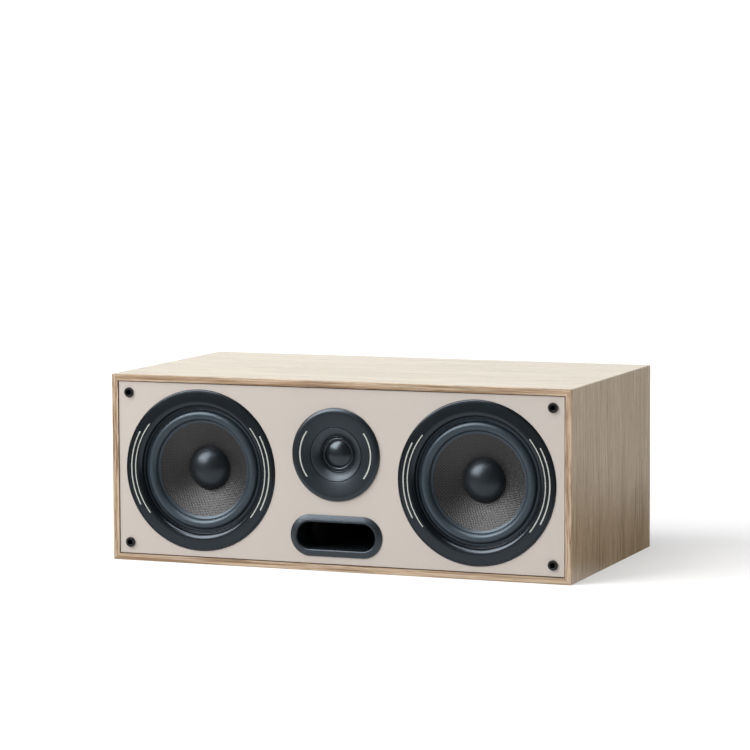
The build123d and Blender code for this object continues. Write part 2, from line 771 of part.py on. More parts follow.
tweeter_wound_r = tweeter_coil_r + tweeter_coil_t
tweeter_coil_end_d = tweeter_motor_d + tweeter_coil_h
tweeter_coil = turned(0, tweeter_z, [
    (tweeter_coil_r, tweeter_motor_d), (tweeter_wound_r, tweeter_motor_d),
    (tweeter_wound_r, tweeter_coil_end_d), (tweeter_coil_r, tweeter_coil_end_d)])
save(tweeter_coil, "tweeter_voice_coil")
motor("tweeter", 0, tweeter_z, tweeter_motor_d, tweeter_plate_r, tweeter_plate_t, tweeter_gap_r,
      tweeter_magnet_r, tweeter_magnet_bore, tweeter_magnet_t, tweeter_yoke_t, tweeter_pole_r, tweeter_vent_r)

# Port flange with its sloping rim and the sleeve that passes through the baffle
sleeve_end_d = baffle_back_d + port_sleeve_l
with BuildPart() as port_flange:
    with BuildSketch(front_plane(0, port_z, baffle_recess)):
        SlotOverall(port_w, port_h)
    extrude(amount=port_edge_h)
    with BuildSketch(front_plane(0, port_z, baffle_recess - port_edge_h)):
        SlotOverall(port_w, port_h)
    with BuildSketch(front_plane(0, port_z, baffle_recess - port_proud)):
        SlotOverall(port_open_w + 2 * port_land_w, port_open_h + 2 * port_land_w)
    loft(ruled=True)
    with BuildSketch(front_plane(0, port_z, baffle_recess)):
        SlotOverall(sleeve_w, sleeve_h)
    extrude(amount=-(sleeve_end_d - baffle_recess))
    with BuildSketch(front_plane(0, port_z, baffle_recess - port_proud)):
        SlotOverall(port_open_w, port_open_h)
    extrude(amount=-(sleeve_end_d + port_proud), mode=Mode.SUBTRACT)
    mouth = port_flange.faces().sort_by(Axis.Y)[0]
    fillet(mouth.inner_wires()[0].edges(), radius=port_inner_round)
save(port_flange, "port_flange")

# Port duct that slips over the sleeve behind the baffle
duct_in_w = sleeve_w + 2 * press_gap
duct_in_h = sleeve_h + 2 * press_gap
with BuildPart() as port_duct:
    with BuildSketch(front_plane(0, port_z, baffle_back_d)):
        SlotOverall(duct_in_w + 2 * port_wall, duct_in_h + 2 * port_wall)
        SlotOverall(duct_in_w, duct_in_h, mode=Mode.SUBTRACT)
    extrude(amount=-duct_l)
save(port_duct, "port_duct")

# Four cups for the grille's pegs
with BuildPart() as grille_sockets:
    with Locations(front_plane(0, cabinet_h / 2, baffle_recess)):
        with GridLocations(2 * socket_x, 2 * socket_z, 2, 2):
            Cylinder(socket_r, socket_proud, align=base_align)
            Cylinder(socket_body_r, socket_body_l, align=front_align)
    fillet(grille_sockets.faces().sort_by(Axis.Y)[0:4].edges(), radius=socket_round)
    with Locations(front_plane(0, cabinet_h / 2, baffle_recess - socket_proud)):
        with GridLocations(2 * socket_x, 2 * socket_z, 2, 2):
            Hole(socket_bore_r, depth=socket_bore_l)
save(grille_sockets, "grille_sockets")

# Terminal cup: flange on the back panel, tapered recess and two post holes
cup_open_w = cup_body_w - 2 * cup_wall
cup_open_h = cup_body_h - 2 * cup_wall
with BuildPart() as terminal_cup:
    with BuildSketch(rear_plane(0, cup_z, back_face_y)):
        RectangleRounded(cup_w, cup_h, cup_corner_r)
    extrude(amount=cup_flange_t)
    fillet(terminal_cup.faces().sort_by(Axis.Y)[-1].edges(), radius=edge_round)
    with BuildSketch(front_plane(0, cup_z, back_face_y - front_y)):
        RectangleRounded(cup_body_w, cup_body_h, cup_corner_r)
    extrude(amount=back_face_y - cup_inner_y, taper=cup_taper)
    with BuildSketch(front_plane(0, cup_z, cup_face_y - front_y)):
        RectangleRounded(cup_open_w, cup_open_h, cup_corner_r - cup_wall)
    extrude(amount=cup_depth, taper=cup_taper, mode=Mode.SUBTRACT)
    with Locations(rear_plane(0, cup_z, cup_floor_y)):
        with GridLocations(post_spacing, 1, 2, 1):
            Hole(post_r + press_gap, depth=cup_wall)
    with Locations(rear_plane(0, cup_z, cup_face_y)):
        with GridLocations(2 * cup_screw_x, 2 * cup_screw_z, 2, 2):
            CounterSinkHole(pilot_r, screw_head_r - press_gap, depth=cup_flange_t, counter_sink_angle=90)
save(terminal_cup, "terminal_cup")

# Screws of the cup, with a cross recess in each head
cup_head_r = screw_head_r - 2 * press_gap
cross_w = 0.9
cross_l = 3.6
cross_t = 1.0
with BuildPart() as terminal_screws:
    with Locations(rear_plane(0, cup_z, cup_face_y)):
        with GridLocations(2 * cup_screw_x, 2 * cup_screw_z, 2, 2):
            Cylinder(screw_shank_r, cup_screw_l, align=front_align)
            Cone(screw_shank_r, cup_head_r, cup_head_r - screw_shank_r, align=front_align)
            Box(cross_w, cross_l, cross_t, align=front_align, mode=Mode.SUBTRACT)
            Box(cross_l, cross_w, cross_t, align=front_align, mode=Mode.SUBTRACT)
save(terminal_screws, "terminal_screws")

# Metal binding posts: collar on the cup's floor, bored tip for a plug and a stud inside
with BuildPart() as binding_posts:
    with Locations(rear_plane(0, cup_z, cup_floor_y)):
        with GridLocations(post_spacing, 1, 2, 1):
            Cylinder(post_collar_r, post_collar_t, align=base_align)
            Cylinder(post_r, post_tip_y - cup_floor_y, align=base_align)
            Cylinder(post_r, cup_wall + post_inner_l, align=front_align)
    with Locations(rear_plane(0, cup_z, post_tip_y)):
        with GridLocations(post_spacing, 1, 2, 1):
            Hole(banana_r, depth=banana_l)
save(binding_posts, "binding_posts")

with BuildPart() as post_nuts:
    with BuildSketch(front_plane(0, cup_z, cup_inner_y - front_y)):
        with GridLocations(post_spacing, 1, 2, 1):
            RegularPolygon(nut_across / 2, 6, major_radius=False)
            Circle(post_r + press_gap, mode=Mode.SUBTRACT)
    extrude(amount=nut_t)
save(post_nuts, "post_nuts")

# Clamp washer and fluted knob on each post, the red one on the right seen from behind
for colour, x in zip(("red", "black"), post_xs):
    with BuildPart() as clamp_washer:
        with BuildSketch(rear_plane(x, cup_z, washer_y)):
            Circle(washer_r)
            Circle(post_r + turned_fit, mode=Mode.SUBTRACT)
        extrude(amount=washer_t)
    save(clamp_washer, f"{colour}_clamp_washer")
    with BuildPart() as knob:
        with BuildSketch(rear_plane(x, cup_z, knob_y)):
            Circle(knob_r)
        extrude(amount=knob_l)
        chamfer(knob.edges().filter_by(GeomType.CIRCLE), length=knob_chamfer)
        with BuildSketch(rear_plane(x, cup_z, knob_y)):
            with PolarLocations(knob_r + knob_flute_r / 3, knob_flutes):
                Circle(knob_flute_r)
        extrude(amount=knob_l - 3 * knob_chamfer, mode=Mode.SUBTRACT)
        with BuildSketch(rear_plane(x, cup_z, knob_y)):
            Circle(post_r + turned_fit)
        extrude(amount=knob_l - knob_cap_t, mode=Mode.SUBTRACT)
        with BuildSketch(rear_plane(x, cup_z, knob_y)):
            Circle(banana_r + turned_fit)
        extrude(amount=knob_l, mode=Mode.SUBTRACT)
    save(knob, f"{colour}_knob")

# Crossover board on four standoffs, with its coils, capacitors and resistor
standoff_x = xover_w / 2 - standoff_in
standoff_y = xover_l / 2 - standoff_in
with BuildPart() as crossover_standoffs:
    with Locations((xover_x, xover_y, board_t)):
        with GridLocations(2 * standoff_x, 2 * standoff_y, 2, 2):
            Cylinder(standoff_r, standoff_h, align=base_align)
save(crossover_standoffs, "crossover_standoffs")

with BuildPart() as crossover_board:
    with Locations((xover_x, xover_y, xover_z)):
        Box(xover_w, xover_l, xover_t, align=base_align)
save(crossover_board, "crossover_board")

low_coil_x = xover_x - xover_w / 2 + low_coil_r + spool_lip
low_coil_y = xover_y
high_coil_x = low_coil_x + low_coil_r + high_coil_r + 3 * spool_lip
high_coil_y = xover_y + xover_l / 2 - high_coil_r - spool_lip


def spool(name, x, y, wound_r, height):
    """Wound coil on a flanged spool that stands on the board."""
    wall_r = wound_r + spool_lip
    top_z = xover_top_z + height
    with BuildPart() as coil:
        with BuildSketch(Plane.XZ.offset(-y)):
            with BuildLine():
                Polyline((x + spool_bore, xover_top_z), (x + wall_r, xover_top_z),
                         (x + wall_r, xover_top_z + spool_flange), (x + wound_r, xover_top_z + spool_flange),
                         (x + wound_r, top_z - spool_flange), (x + wall_r, top_z - spool_flange),
                         (x + wall_r, top_z), (x + spool_bore, top_z), close=True)
            make_face()
        revolve(axis=Axis((x, y, 0), (0, 0, 1)))
    save(coil, name)


spool("low_pass_coil", low_coil_x, low_coil_y, low_coil_r, low_coil_h)
spool("high_pass_coil", high_coil_x, high_coil_y, high_coil_r, high_coil_h)

capacitor_x = high_coil_x + high_coil_r + 2 * spool_lip + capacitor_r
capacitor_z = xover_top_z + press_gap + capacitor_r
with BuildPart() as capacitors:
    for k in range(2):
        x = capacitor_x + k * (2 * capacitor_r + spool_lip)
        with BuildSketch(Plane.XZ.offset(capacitor_l / 2 - xover_y)):
            with Locations((x, capacitor_z)):
                Circle(capacitor_r)
        extrude(amount=-capacitor_l)
save(capacitors, "capacitors")

resistor_y = xover_y - xover_l / 2 + resistor_w
with BuildPart() as resistor:
    with Locations((high_coil_x, resistor_y, xover_top_z)):
        Box(resistor_l, resistor_w, resistor_w, align=base_align)
    chamfer(resistor.edges().filter_by(Axis.X), length=edge_round)
save(resistor, "resistor")

# Damping wadding behind each woofer, against the back panel
with BuildPart() as wadding:
    for x in woofer_xs:
        with Locations((x, back_inner_y - wadding_t / 2, board_t)):
            Box(wadding_w, wadding_t, wadding_h, align=base_align)
    fillet(wadding.edges().filter_by(Axis.Y), radius=wadding_round)
save(wadding, "wadding")

# Leads from the crossover to the terminals and the three drivers
board_left_x = xover_x - xover_w / 2
board_right_x = xover_x + xover_w / 2
board_front_y = xover_y - xover_l / 2
board_back_y = xover_y + xover_l / 2
tab_y = front_y + tab_end_d + lead_end_gap
tab_z = woofer_z + strip_r
lead_z = xover_top_z + lead_r + press_gap
stud_y = cup_inner_y - post_inner_l - lead_end_gap
yoke_back_y = front_y + tweeter_yoke_d + tweeter_yoke_t + lead_end_gap
yoke_solder_r = (tweeter_plate_r + tweeter_vent_r) / 2
lead_gap = 3 * lead_r
input_x = post_xs[1]
right_x = board_right_x - right_land
left_entry_x = board_left_x + lead_gap
input_route = [
    (input_x, stud_y, cup_z), (input_x, stud_y - stud_exit_l, cup_z),
    (board_left_x - input_swing, board_back_y, cup_z - input_drop),
    (board_left_x - input_run, board_back_y - lead_gap, lead_z),
    (left_entry_x, board_back_y - lead_gap, lead_z)]
right_route = [
    (woofer_x, tab_y, tab_z), (woofer_x, tab_y + tab_exit_l, tab_z),
    (board_right_x - right_run, board_front_y - lead_side, lead_z + lead_hang),
    (right_x, board_front_y - lead_side, lead_z + right_dip), (right_x, board_front_y + lead_gap, lead_z)]
left_route = [
    (-woofer_x, tab_y, tab_z), (-woofer_x, tab_y + tab_exit_l, tab_z),
    (-woofer_x + left_swing, xover_y + left_step, lead_z + lead_hang),
    (-woofer_x + left_run, board_back_y - lead_gap, lead_z),
    (left_entry_x, board_back_y - 2 * lead_gap, lead_z)]
tweeter_route = [
    (yoke_solder_r, yoke_back_y, tweeter_z), (yoke_solder_r, yoke_back_y + yoke_exit_l, tweeter_z),
    (board_left_x - tweeter_swing, board_front_y + lead_side, tweeter_z - tweeter_drop),
    (board_left_x - lead_side, board_front_y + 2 * lead_gap, lead_z),
    (left_entry_x, board_front_y + 2 * lead_gap, lead_z)]
with BuildPart() as hookup_leads:
    for route in (input_route, right_route, left_route, tweeter_route):
        with BuildLine() as path:
            FilletPolyline(*route, radius=lead_bend)
        with BuildSketch(Plane(origin=path.line @ 0, z_dir=path.line % 0)):
            Circle(lead_r)
        sweep(path=path.line)
save(hookup_leads, "hookup_leads")
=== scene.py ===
"""Looks of a center channel speaker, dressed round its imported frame.

Metres, +X right seen from the front, +Y to the back, +Z up, with the origin in the middle of the base.
The classes hold their sizes in millimetres, and a depth is measured back from the cabinet's front plane.
"""
import json
import logging
import math
from dataclasses import dataclass
from enum import Enum
from typing import Any, Dict, List, Optional, Sequence, Tuple, Union

import bmesh
import bpy
from mathutils import Matrix, Vector


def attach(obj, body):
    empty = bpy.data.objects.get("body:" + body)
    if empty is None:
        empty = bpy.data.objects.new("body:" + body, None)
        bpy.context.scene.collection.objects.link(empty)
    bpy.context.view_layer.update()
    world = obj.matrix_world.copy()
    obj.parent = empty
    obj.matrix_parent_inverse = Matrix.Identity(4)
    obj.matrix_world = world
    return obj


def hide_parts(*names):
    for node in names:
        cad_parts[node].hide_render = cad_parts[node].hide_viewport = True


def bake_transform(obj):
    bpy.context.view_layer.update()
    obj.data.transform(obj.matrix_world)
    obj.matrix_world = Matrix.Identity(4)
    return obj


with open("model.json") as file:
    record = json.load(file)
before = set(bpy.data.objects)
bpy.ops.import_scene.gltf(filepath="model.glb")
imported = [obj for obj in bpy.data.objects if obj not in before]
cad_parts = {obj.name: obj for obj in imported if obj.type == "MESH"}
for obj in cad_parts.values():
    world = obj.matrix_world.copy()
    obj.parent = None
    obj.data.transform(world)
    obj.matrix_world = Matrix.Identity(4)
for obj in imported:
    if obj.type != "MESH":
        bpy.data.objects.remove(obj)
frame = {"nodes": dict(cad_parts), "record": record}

LOG = logging.getLogger("speaker")
MM = 0.001
FRONT_Y = -140.0
BAFFLE_D = 1.2
ARC_T = 1.3
ARC_EDGE = 0.18
TURN_STEPS = 192
SMALL_TURN_STEPS = 96
SMOOTH_ANGLE = math.radians(32)

Colour = Tuple[float, float, float, float]
Point = Tuple[float, float]
Number = Union[float, "Signal"]
WHITE: Colour = (1.0, 1.0, 1.0, 1.0)


def paint(red: int, green: int, blue: int) -> Colour:
    """Turn a screen colour into the linear colour that a shader takes.

    Args:
        red: Red, 0 to 255.
        green: Green, 0 to 255.
        blue: Blue, 0 to 255.

    Returns:
        The linear colour with full alpha.
    """
    linear = [(c / 255 / 12.92) if c <= 10 else ((c / 255 + 0.055) / 1.055) ** 2.4 for c in (red, green, blue)]
    return (linear[0], linear[1], linear[2], 1.0)


def shade(colour: Colour, factor: float) -> Colour:
    """Make a colour darker or paler.

    Args:
        colour: Linear colour.
        factor: What its three parts are multiplied by.

    Returns:
        The new colour with full alpha.
    """
    red, green, blue = (min(1.0, part * factor) for part in colour[:3])
    return (red, green, blue, 1.0)


class Side(Enum):
    """The two woofers, by where they stand seen from the front."""

    LEFT = -1
    RIGHT = 1

    @property
    def word(self) -> str:
        """Name that the frame's nodes start with."""
        return self.name.lower()


class Grain(Enum):
    """Direction in which the wood grain of a board runs."""

    ALONG_X = 0
    ALONG_Z = 2

    def stretched(self, along: float, across: float) -> Tuple[float, float, float]:
        """Scale of a pattern that is drawn out along the grain.

        Args:
            along: Repeats in a metre along the grain.
            across: Repeats in a metre across the grain.

        Returns:
            The scale on the three axes.
        """
        scale = [across, across, across]
        scale[self.value] = along
        return (scale[0], scale[1], scale[2])


class Signal:
    """One number over a surface, whose Python operators add Math nodes."""

    def __init__(self, graph: "Graph", socket: bpy.types.NodeSocket) -> None:
        """Keep the graph and the socket that carries the number."""
        self.graph = graph
        self.socket = socket

    def _math(self, operation: str, first: Number, second: Number = 0.0) -> "Signal":
        """Add a Math node.

        Args:
            operation: Name of the node's operation.
            first: First value.
            second: Second value, unused by operations on one value.

        Returns:
            The node's result.
        """
        node = self.graph.node("ShaderNodeMath", {"operation": operation}, {0: first, 1: second})
        return Signal(self.graph, node.outputs[0])

    def __add__(self, other: Number) -> "Signal":
        """Sum."""
        return self._math("ADD", self, other)

    def __radd__(self, other: Number) -> "Signal":
        """Sum, reflected."""
        return self._math("ADD", other, self)

    def __sub__(self, other: Number) -> "Signal":
        """Difference."""
        return self._math("SUBTRACT", self, other)

    def __rsub__(self, other: Number) -> "Signal":
        """Difference, reflected."""
        return self._math("SUBTRACT", other, self)

    def __mul__(self, other: Number) -> "Signal":
        """Product."""
        return self._math("MULTIPLY", self, other)

    def __mod__(self, other: Number) -> "Signal":
        """Remainder that stays positive."""
        return self._math("FLOORED_MODULO", self, other)

    def __pow__(self, other: Number) -> "Signal":
        """Power."""
        return self._math("POWER", self, other)

    def __abs__(self) -> "Signal":
        """Size without its sign."""
        return self._math("ABSOLUTE", self)

    def floor(self) -> "Signal":
        """Whole number below."""
        return self._math("FLOOR", self)

    def sine(self) -> "Signal":
        """Sine of an angle in radians."""
        return self._math("SINE", self)

    def most(self, other: Number) -> "Signal":
        """The larger of two values."""
        return self._math("MAXIMUM", self, other)

    def rise(self, low: float, high: float) -> "Signal":
        """Go smoothly from 0 at one value to 1 at another.

        Args:
            low: Value up to which the result is 0.
            high: Value from which the result is 1.

        Returns:
            The eased step.
        """
        node = self.graph.node("ShaderNodeMapRange", {"interpolation_type": "SMOOTHSTEP"},
                               {"Value": self, "From Min": low, "From Max": high})
        return Signal(self.graph, node.outputs[0])


class Graph:
    """Node tree of one material or of the world."""

    def __init__(self, tree: bpy.types.NodeTree) -> None:
        """Empty the tree that the nodes go into."""
        self.tree = tree
        self.tree.nodes.clear()

    def node(self, kind: str, settings: Optional[Dict[str, Any]] = None,
             sockets: Optional[Dict[Any, Any]] = None) -> bpy.types.Node:
        """Add any node.

        Args:
            kind: Type name of the node.
            settings: Properties, set first. The stops of a ramp go under the name stops.
            sockets: Values or links, by the input's name or number.

        Returns:
            The new node.
        """
        node = self.tree.nodes.new(kind)
        for name, value in (settings or {}).items():
            if name == "stops":
                self._set_stops(node, value)
            else:
                setattr(node, name, value)
        for key, value in (sockets or {}).items():
            if isinstance(value, Signal):
                self.tree.links.new(value.socket, node.inputs[key])
            elif isinstance(value, bpy.types.NodeSocket):
                self.tree.links.new(value, node.inputs[key])
            else:
                node.inputs[key].default_value = value
        return node

    @staticmethod
    def _set_stops(node: bpy.types.Node, stops: Sequence[Tuple[float, Colour]]) -> None:
        """Give a ramp its stops.

        Args:
            node: The ramp's node.
            stops: Places from 0 to 1 and their colours.
        """
        elements = node.color_ramp.elements
        while len(elements) < len(stops):
            elements.new(1.0)
        for element, (place, colour) in zip(elements, stops):
            element.position = place
            element.color = colour

    def place(self, scale: Sequence[float], shift: Sequence[float] = (0, 0, 0)) -> bpy.types.NodeSocket:
        """Object coordinates under a Mapping node.

        Args:
            scale: Repeats in a metre on each axis.
            shift: Shift of the pattern.

        Returns:
            The vector.
        """
        source = self.node("ShaderNodeTexCoord").outputs["Object"]
        sockets = {"Vector": source, "Location": shift, "Scale": scale}
        return self.node("ShaderNodeMapping", {"vector_type": "POINT"}, sockets).outputs["Vector"]

    def axes(self, vector: bpy.types.NodeSocket) -> List[Signal]:
        """The three numbers of a vector."""
        node = self.node("ShaderNodeSeparateXYZ", None, {"Vector": vector})
        return [Signal(self, output) for output in node.outputs]

    def noise(self, vector: bpy.types.NodeSocket, detail: float = 2.0, rough: float = 0.5,
              warp: float = 0.0) -> Signal:
        """Cloudy noise.

        Args:
            vector: Scaled place.
            detail: Octaves.
            rough: Weight of the finer octaves.
            warp: Distortion.

        Returns:
            A number around 0.5.
        """
        sockets = {"Vector": vector, "Scale": 1.0, "Detail": detail, "Roughness": rough, "Distortion": warp}
        return Signal(self, self.node("ShaderNodeTexNoise", None, sockets).outputs["Fac"])

    def ramp(self, value: Signal, stops: Sequence[Tuple[float, Colour]]) -> bpy.types.NodeSocket:
        """Colour that follows a number.

        Args:
            value: The number, 0 to 1.
            stops: Places and colours.

        Returns:
            The colour.
        """
        return self.node("ShaderNodeValToRGB", {"stops": stops}, {"Fac": value}).outputs["Color"]

    def mix(self, share: Number, first: Any, second: Any) -> bpy.types.NodeSocket:
        """Mix of two colours.

        Args:
            share: Share of the second colour.
            first: First colour.
            second: Second colour.

        Returns:
            The mixed colour.
        """
        return self.node("ShaderNodeMix", {"data_type": "RGBA"}, {0: share, 6: first, 7: second}).outputs[2]

    def bump(self, height: Signal, depth_mm: float, strength: float) -> bpy.types.NodeSocket:
        """Normal of a surface with fine relief.

        Args:
            height: Relief, 0 to 1.
            depth_mm: Depth of the relief in millimetres.
            strength: Weight of the relief.

        Returns:
            The normal.
        """
        sockets = {"Height": height, "Distance": depth_mm * MM, "Strength": strength}
        return self.node("ShaderNodeBump", None, sockets).outputs["Normal"]

    def surface(self, sockets: Dict[str, Any]) -> None:
        """Close the tree with a Principled shader.

        Args:
            sockets: Values or links of the shader's inputs.
        """
        shader = self.node("ShaderNodeBsdfPrincipled", None, sockets)
        self.node("ShaderNodeOutputMaterial", None, {"Surface": shader.outputs[0]})


def new_material(name: str) -> Tuple[bpy.types.Material, Graph]:
    """Make an empty material.

    Args:
        name: Name of the material.

    Returns:
        The material and the graph of its tree.
    """
    material = bpy.data.materials.new(name)
    material.use_nodes = True
    return material, Graph(material.node_tree)


@dataclass(frozen=True)
class OakWrap:
    """Pale oak grain under a satin film."""

    name: str
    grain: Grain
    pale: Colour = paint(187, 165, 139)
    middle: Colour = paint(168, 144, 118)
    deep: Colour = paint(137, 113, 89)
    pore: Colour = paint(94, 74, 55)
    figure: float = 1.0
    run: float = 1.0
    edge_pale: Colour = paint(204, 182, 156)
    edge_middle: Colour = paint(177, 152, 126)
    edge_deep: Colour = paint(138, 110, 83)
    edge_y: float = 0.1394
    edge_fade: float = 0.0005

    def material(self) -> bpy.types.Material:
        """Build growth rings, streaks and pores that run along the grain."""
        material, g = new_material(self.name)
        field = g.noise(g.place(self.grain.stretched(1.1, 14.0)), 1.5, 0.45, 0.4)
        rings = (field * 120.0).sine() * 0.5 + 0.5
        streaks = g.noise(g.place(self.grain.stretched(4.5 * self.run, 250.0)), 6.0, 0.72, 0.2)
        fibres = g.noise(g.place(self.grain.stretched(14.0 * self.run, 900.0)), 4.0, 0.7)
        clouds = g.noise(g.place(self.grain.stretched(2.0, 26.0), shift=(3.1, 1.7, 0.4)), 2.0)
        tone = rings * 0.06 + streaks * 0.56 + fibres * 0.26 + clouds * 0.18
        even, spread = 0.53, 0.105 / self.figure
        base = g.ramp(tone, [(even - spread, self.deep), (even, self.middle), (even + spread, self.pale)])
        flecks = g.noise(g.place(self.grain.stretched(9.0 * self.run, 520.0), shift=(1.9, 0.3, 4.1)), 3.0, 0.65)
        edge = g.ramp(streaks * 0.35 + flecks * 0.65,
                      [(0.41, self.edge_deep), (0.49, self.edge_middle), (0.57, self.edge_pale)])
        ahead = 0.0 - g.axes(g.place((1.0, 1.0, 1.0)))[1]
        base = g.mix(ahead.rise(self.edge_y - self.edge_fade, self.edge_y), base, edge)
        dashes = g.noise(g.place(self.grain.stretched(13.0 * self.run, 420.0), shift=(0.7, 5.3, 2.9)), 2.0, 0.6)
        dashes = dashes.rise(0.56, 0.66)
        pores = g.noise(g.place(self.grain.stretched(40.0, 1500.0)), 1.0).rise(0.56, 0.66)
        pores = (pores * streaks.rise(0.48, 0.58) * 0.6).most(dashes * (0.42 * self.figure))
        colour = g.mix(pores, base, self.pore)
        relief = fibres * 0.5 + streaks * 0.5 - pores * 0.5
        g.surface({"Base Color": colour, "Roughness": 0.20 + fibres * 0.06 + pores * 0.1,
                   "Specular IOR Level": 0.45, "Normal": g.bump(relief, 0.03, 0.35)})
        return material


@dataclass(frozen=True)
class Lacquer:
    """Sprayed matte paint with a faint orange peel."""

    name: str
    colour: Colour
    rough: float = 0.55

    def material(self) -> bpy.types.Material:
        """Build the paint's cloudy tone, fine grain and peel."""
        material, g = new_material(self.name)
        clouds = g.noise(g.place((7.0, 7.0, 7.0)), 2.0)
        grain = g.noise(g.place((1800.0, 1800.0, 1800.0)), 1.0)
        peel = g.noise(g.place((420.0, 420.0, 420.0)), 2.0)
        tone = clouds * 0.5 + grain * 0.5
        stops = [(0.3, shade(self.colour, 0.94)), (0.7, shade(self.colour, 1.05))]
        g.surface({"Base Color": g.ramp(tone, stops), "Roughness": self.rough + grain * 0.08,
                   "Specular IOR Level": 0.4, "Normal": g.bump(peel * 0.7 + grain * 0.3, 0.05, 0.35)})
        return material


@dataclass(frozen=True)
class Moulding:
    """Moulded plastic or rubber with a spark-eroded texture."""

    name: str
    colour: Colour
    rough: float = 0.42
    grain: float = 1400.0
    depth_mm: float = 0.04
    fleck: float = 0.12
    shine: float = 0.4
    film: float = 0.0
    sheen: Colour = WHITE

    def material(self) -> bpy.types.Material:
        """Build the texture's relief, its flecks and a slight unevenness of the gloss."""
        material, g = new_material(self.name)
        grain = g.noise(g.place((self.grain,) * 3), 2.0, 0.6)
        clouds = g.noise(g.place((45.0, 45.0, 45.0)), 2.0)
        stops = [(0.3, shade(self.colour, 1.0 - self.fleck * 2)), (0.7, shade(self.colour, 1.0 + self.fleck * 2))]
        g.surface({"Base Color": g.ramp(grain * 0.7 + clouds * 0.3, stops),
                   "Roughness": self.rough - 0.06 + clouds * 0.12, "Specular IOR Level": self.shine,
                   "Specular Tint": self.sheen, "Coat Weight": self.film, "Coat Roughness": 0.12,
                   "Normal": g.bump(grain, self.depth_mm, 0.5)})
        return material


@dataclass(frozen=True)
class Metal:
    """Plated, cast or turned metal."""

    name: str
    colour: Colour
    rough: float = 0.3
    grain: float = 700.0
    depth_mm: float = 0.02
    tarnish: float = 0.2
    metallic: float = 1.0

    def material(self) -> bpy.types.Material:
        """Build the metal's fine grain and a thin uneven tarnish."""
        material, g = new_material(self.name)
        grain = g.noise(g.place((self.grain,) * 3), 3.0, 0.6)
        clouds = g.noise(g.place((60.0, 60.0, 60.0)), 3.0)
        dull = shade(self.colour, 1.0 - self.tarnish)
        g.surface({"Base Color": g.mix(clouds.rise(0.35, 0.75), self.colour, dull), "Metallic": self.metallic,
                   "Roughness": self.rough - 0.06 + grain * 0.12, "Normal": g.bump(grain, self.depth_mm, 0.4)})
        return material


@dataclass(frozen=True)
class Weave:
    """Plain weave of threads that pass over and under each other."""

    name: str
    warp: Colour
    weft: Colour
    # Dark colour painted into the hollows between threads as shade, and also mixed in with the fuzz.
    fuzz_and_hollow_shade: Colour
    pitch_mm: float = 1.7
    depth_mm: float = 0.16
    rough: float = 0.5
    shine: float = 0.5

    def material(self) -> bpy.types.Material:
        """Build the weave from two crossed sets of rounded threads, with painted shade in the hollows between them."""
        material, g = new_material(self.name)
        repeats = 1.0 / (self.pitch_mm * MM)
        across, _, up = g.axes(g.place((repeats,) * 3))
        over = (across.floor() + up.floor()) % 2.0
        warp = abs((across * math.pi).sine())
        weft = abs((up * math.pi).sine())
        warp_height = warp ** 0.6 * (0.35 + weft * 0.65)
        weft_height = weft ** 0.6 * (0.35 + warp * 0.65)
        height = over * warp_height + (1.0 - over) * weft_height
        fuzz = g.noise(g.place((2600.0, 2600.0, 2600.0)), 2.0)
        clouds = g.noise(g.place((60.0, 60.0, 60.0)), 2.0)
        thread = g.mix(over, self.weft, self.warp)
        # Painted shade: the low places between the threads take the dark colour.
        colour = g.mix(height.rise(0.05, 0.55), self.fuzz_and_hollow_shade, thread)
        # Fuzz and clouds mix in the same dark colour at random.
        colour = g.mix(fuzz * 0.25 + clouds * 0.2, colour, self.fuzz_and_hollow_shade)
        g.surface({"Base Color": colour, "Roughness": self.rough + fuzz * 0.15 - height * 0.1,
                   "Specular IOR Level": self.shine, "Normal": g.bump(height + fuzz * 0.1, self.depth_mm, 0.7)})
        return material


@dataclass(frozen=True)
class Fibre:
    """Felt, foam, card or ceramic: a dull, open, cloudy surface."""

    name: str
    colour: Colour
    scale: float = 500.0
    depth_mm: float = 0.3
    spread: float = 0.3

    def material(self) -> bpy.types.Material:
        """Build tangled fibres over a cloudy tone."""
        material, g = new_material(self.name)
        tangle = g.noise(g.place((self.scale,) * 3), 4.0, 0.7, 1.5)
        clouds = g.noise(g.place((40.0, 40.0, 40.0)), 2.0)
        stops = [(0.3, shade(self.colour, 1.0 - self.spread)), (0.7, shade(self.colour, 1.0 + self.spread))]
        g.surface({"Base Color": g.ramp(tangle * 0.7 + clouds * 0.3, stops), "Roughness": 0.85 + tangle * 0.1,
                   "Specular IOR Level": 0.25, "Normal": g.bump(tangle, self.depth_mm, 0.8)})
        return material


@dataclass(frozen=True)
class Winding:
    """Enamelled wire laid in turns beside each other along an axis."""

    name: str
    colour: Colour
    wire_mm: float = 0.9
    axis: int = 2

    def material(self) -> bpy.types.Material:
        """Build the turns as rounded ridges across the winding's axis, with painted shade in the grooves between them.
        """
        material, g = new_material(self.name)
        along = g.axes(g.place((1.0 / (self.wire_mm * MM),) * 3))[self.axis]
        ridge = abs((along * math.pi).sine())
        clouds = g.noise(g.place((120.0, 120.0, 120.0)), 2.0)
        # Painted shade: the flanks of each turn darken to a third of the colour towards the grooves.
        colour = g.mix(ridge.rise(0.1, 0.6), shade(self.colour, 0.35), self.colour)
        g.surface({"Base Color": colour, "Metallic": 0.85, "Roughness": 0.28 + clouds * 0.1, "Coat Weight": 0.3,
                   "Normal": g.bump(ridge, 0.25, 0.8)})
        return material


Finish = Union[OakWrap, Lacquer, Moulding, Metal, Weave, Fibre, Winding]

DARK_BLUE: Colour = (0.0036, 0.0047, 0.0061, 1.0)
NEAR_BLACK: Colour = (0.0075, 0.0080, 0.0090, 1.0)
COOL: Colour = (0.74, 0.87, 1.0, 1.0)
COLD: Colour = (0.70, 0.86, 1.0, 1.0)

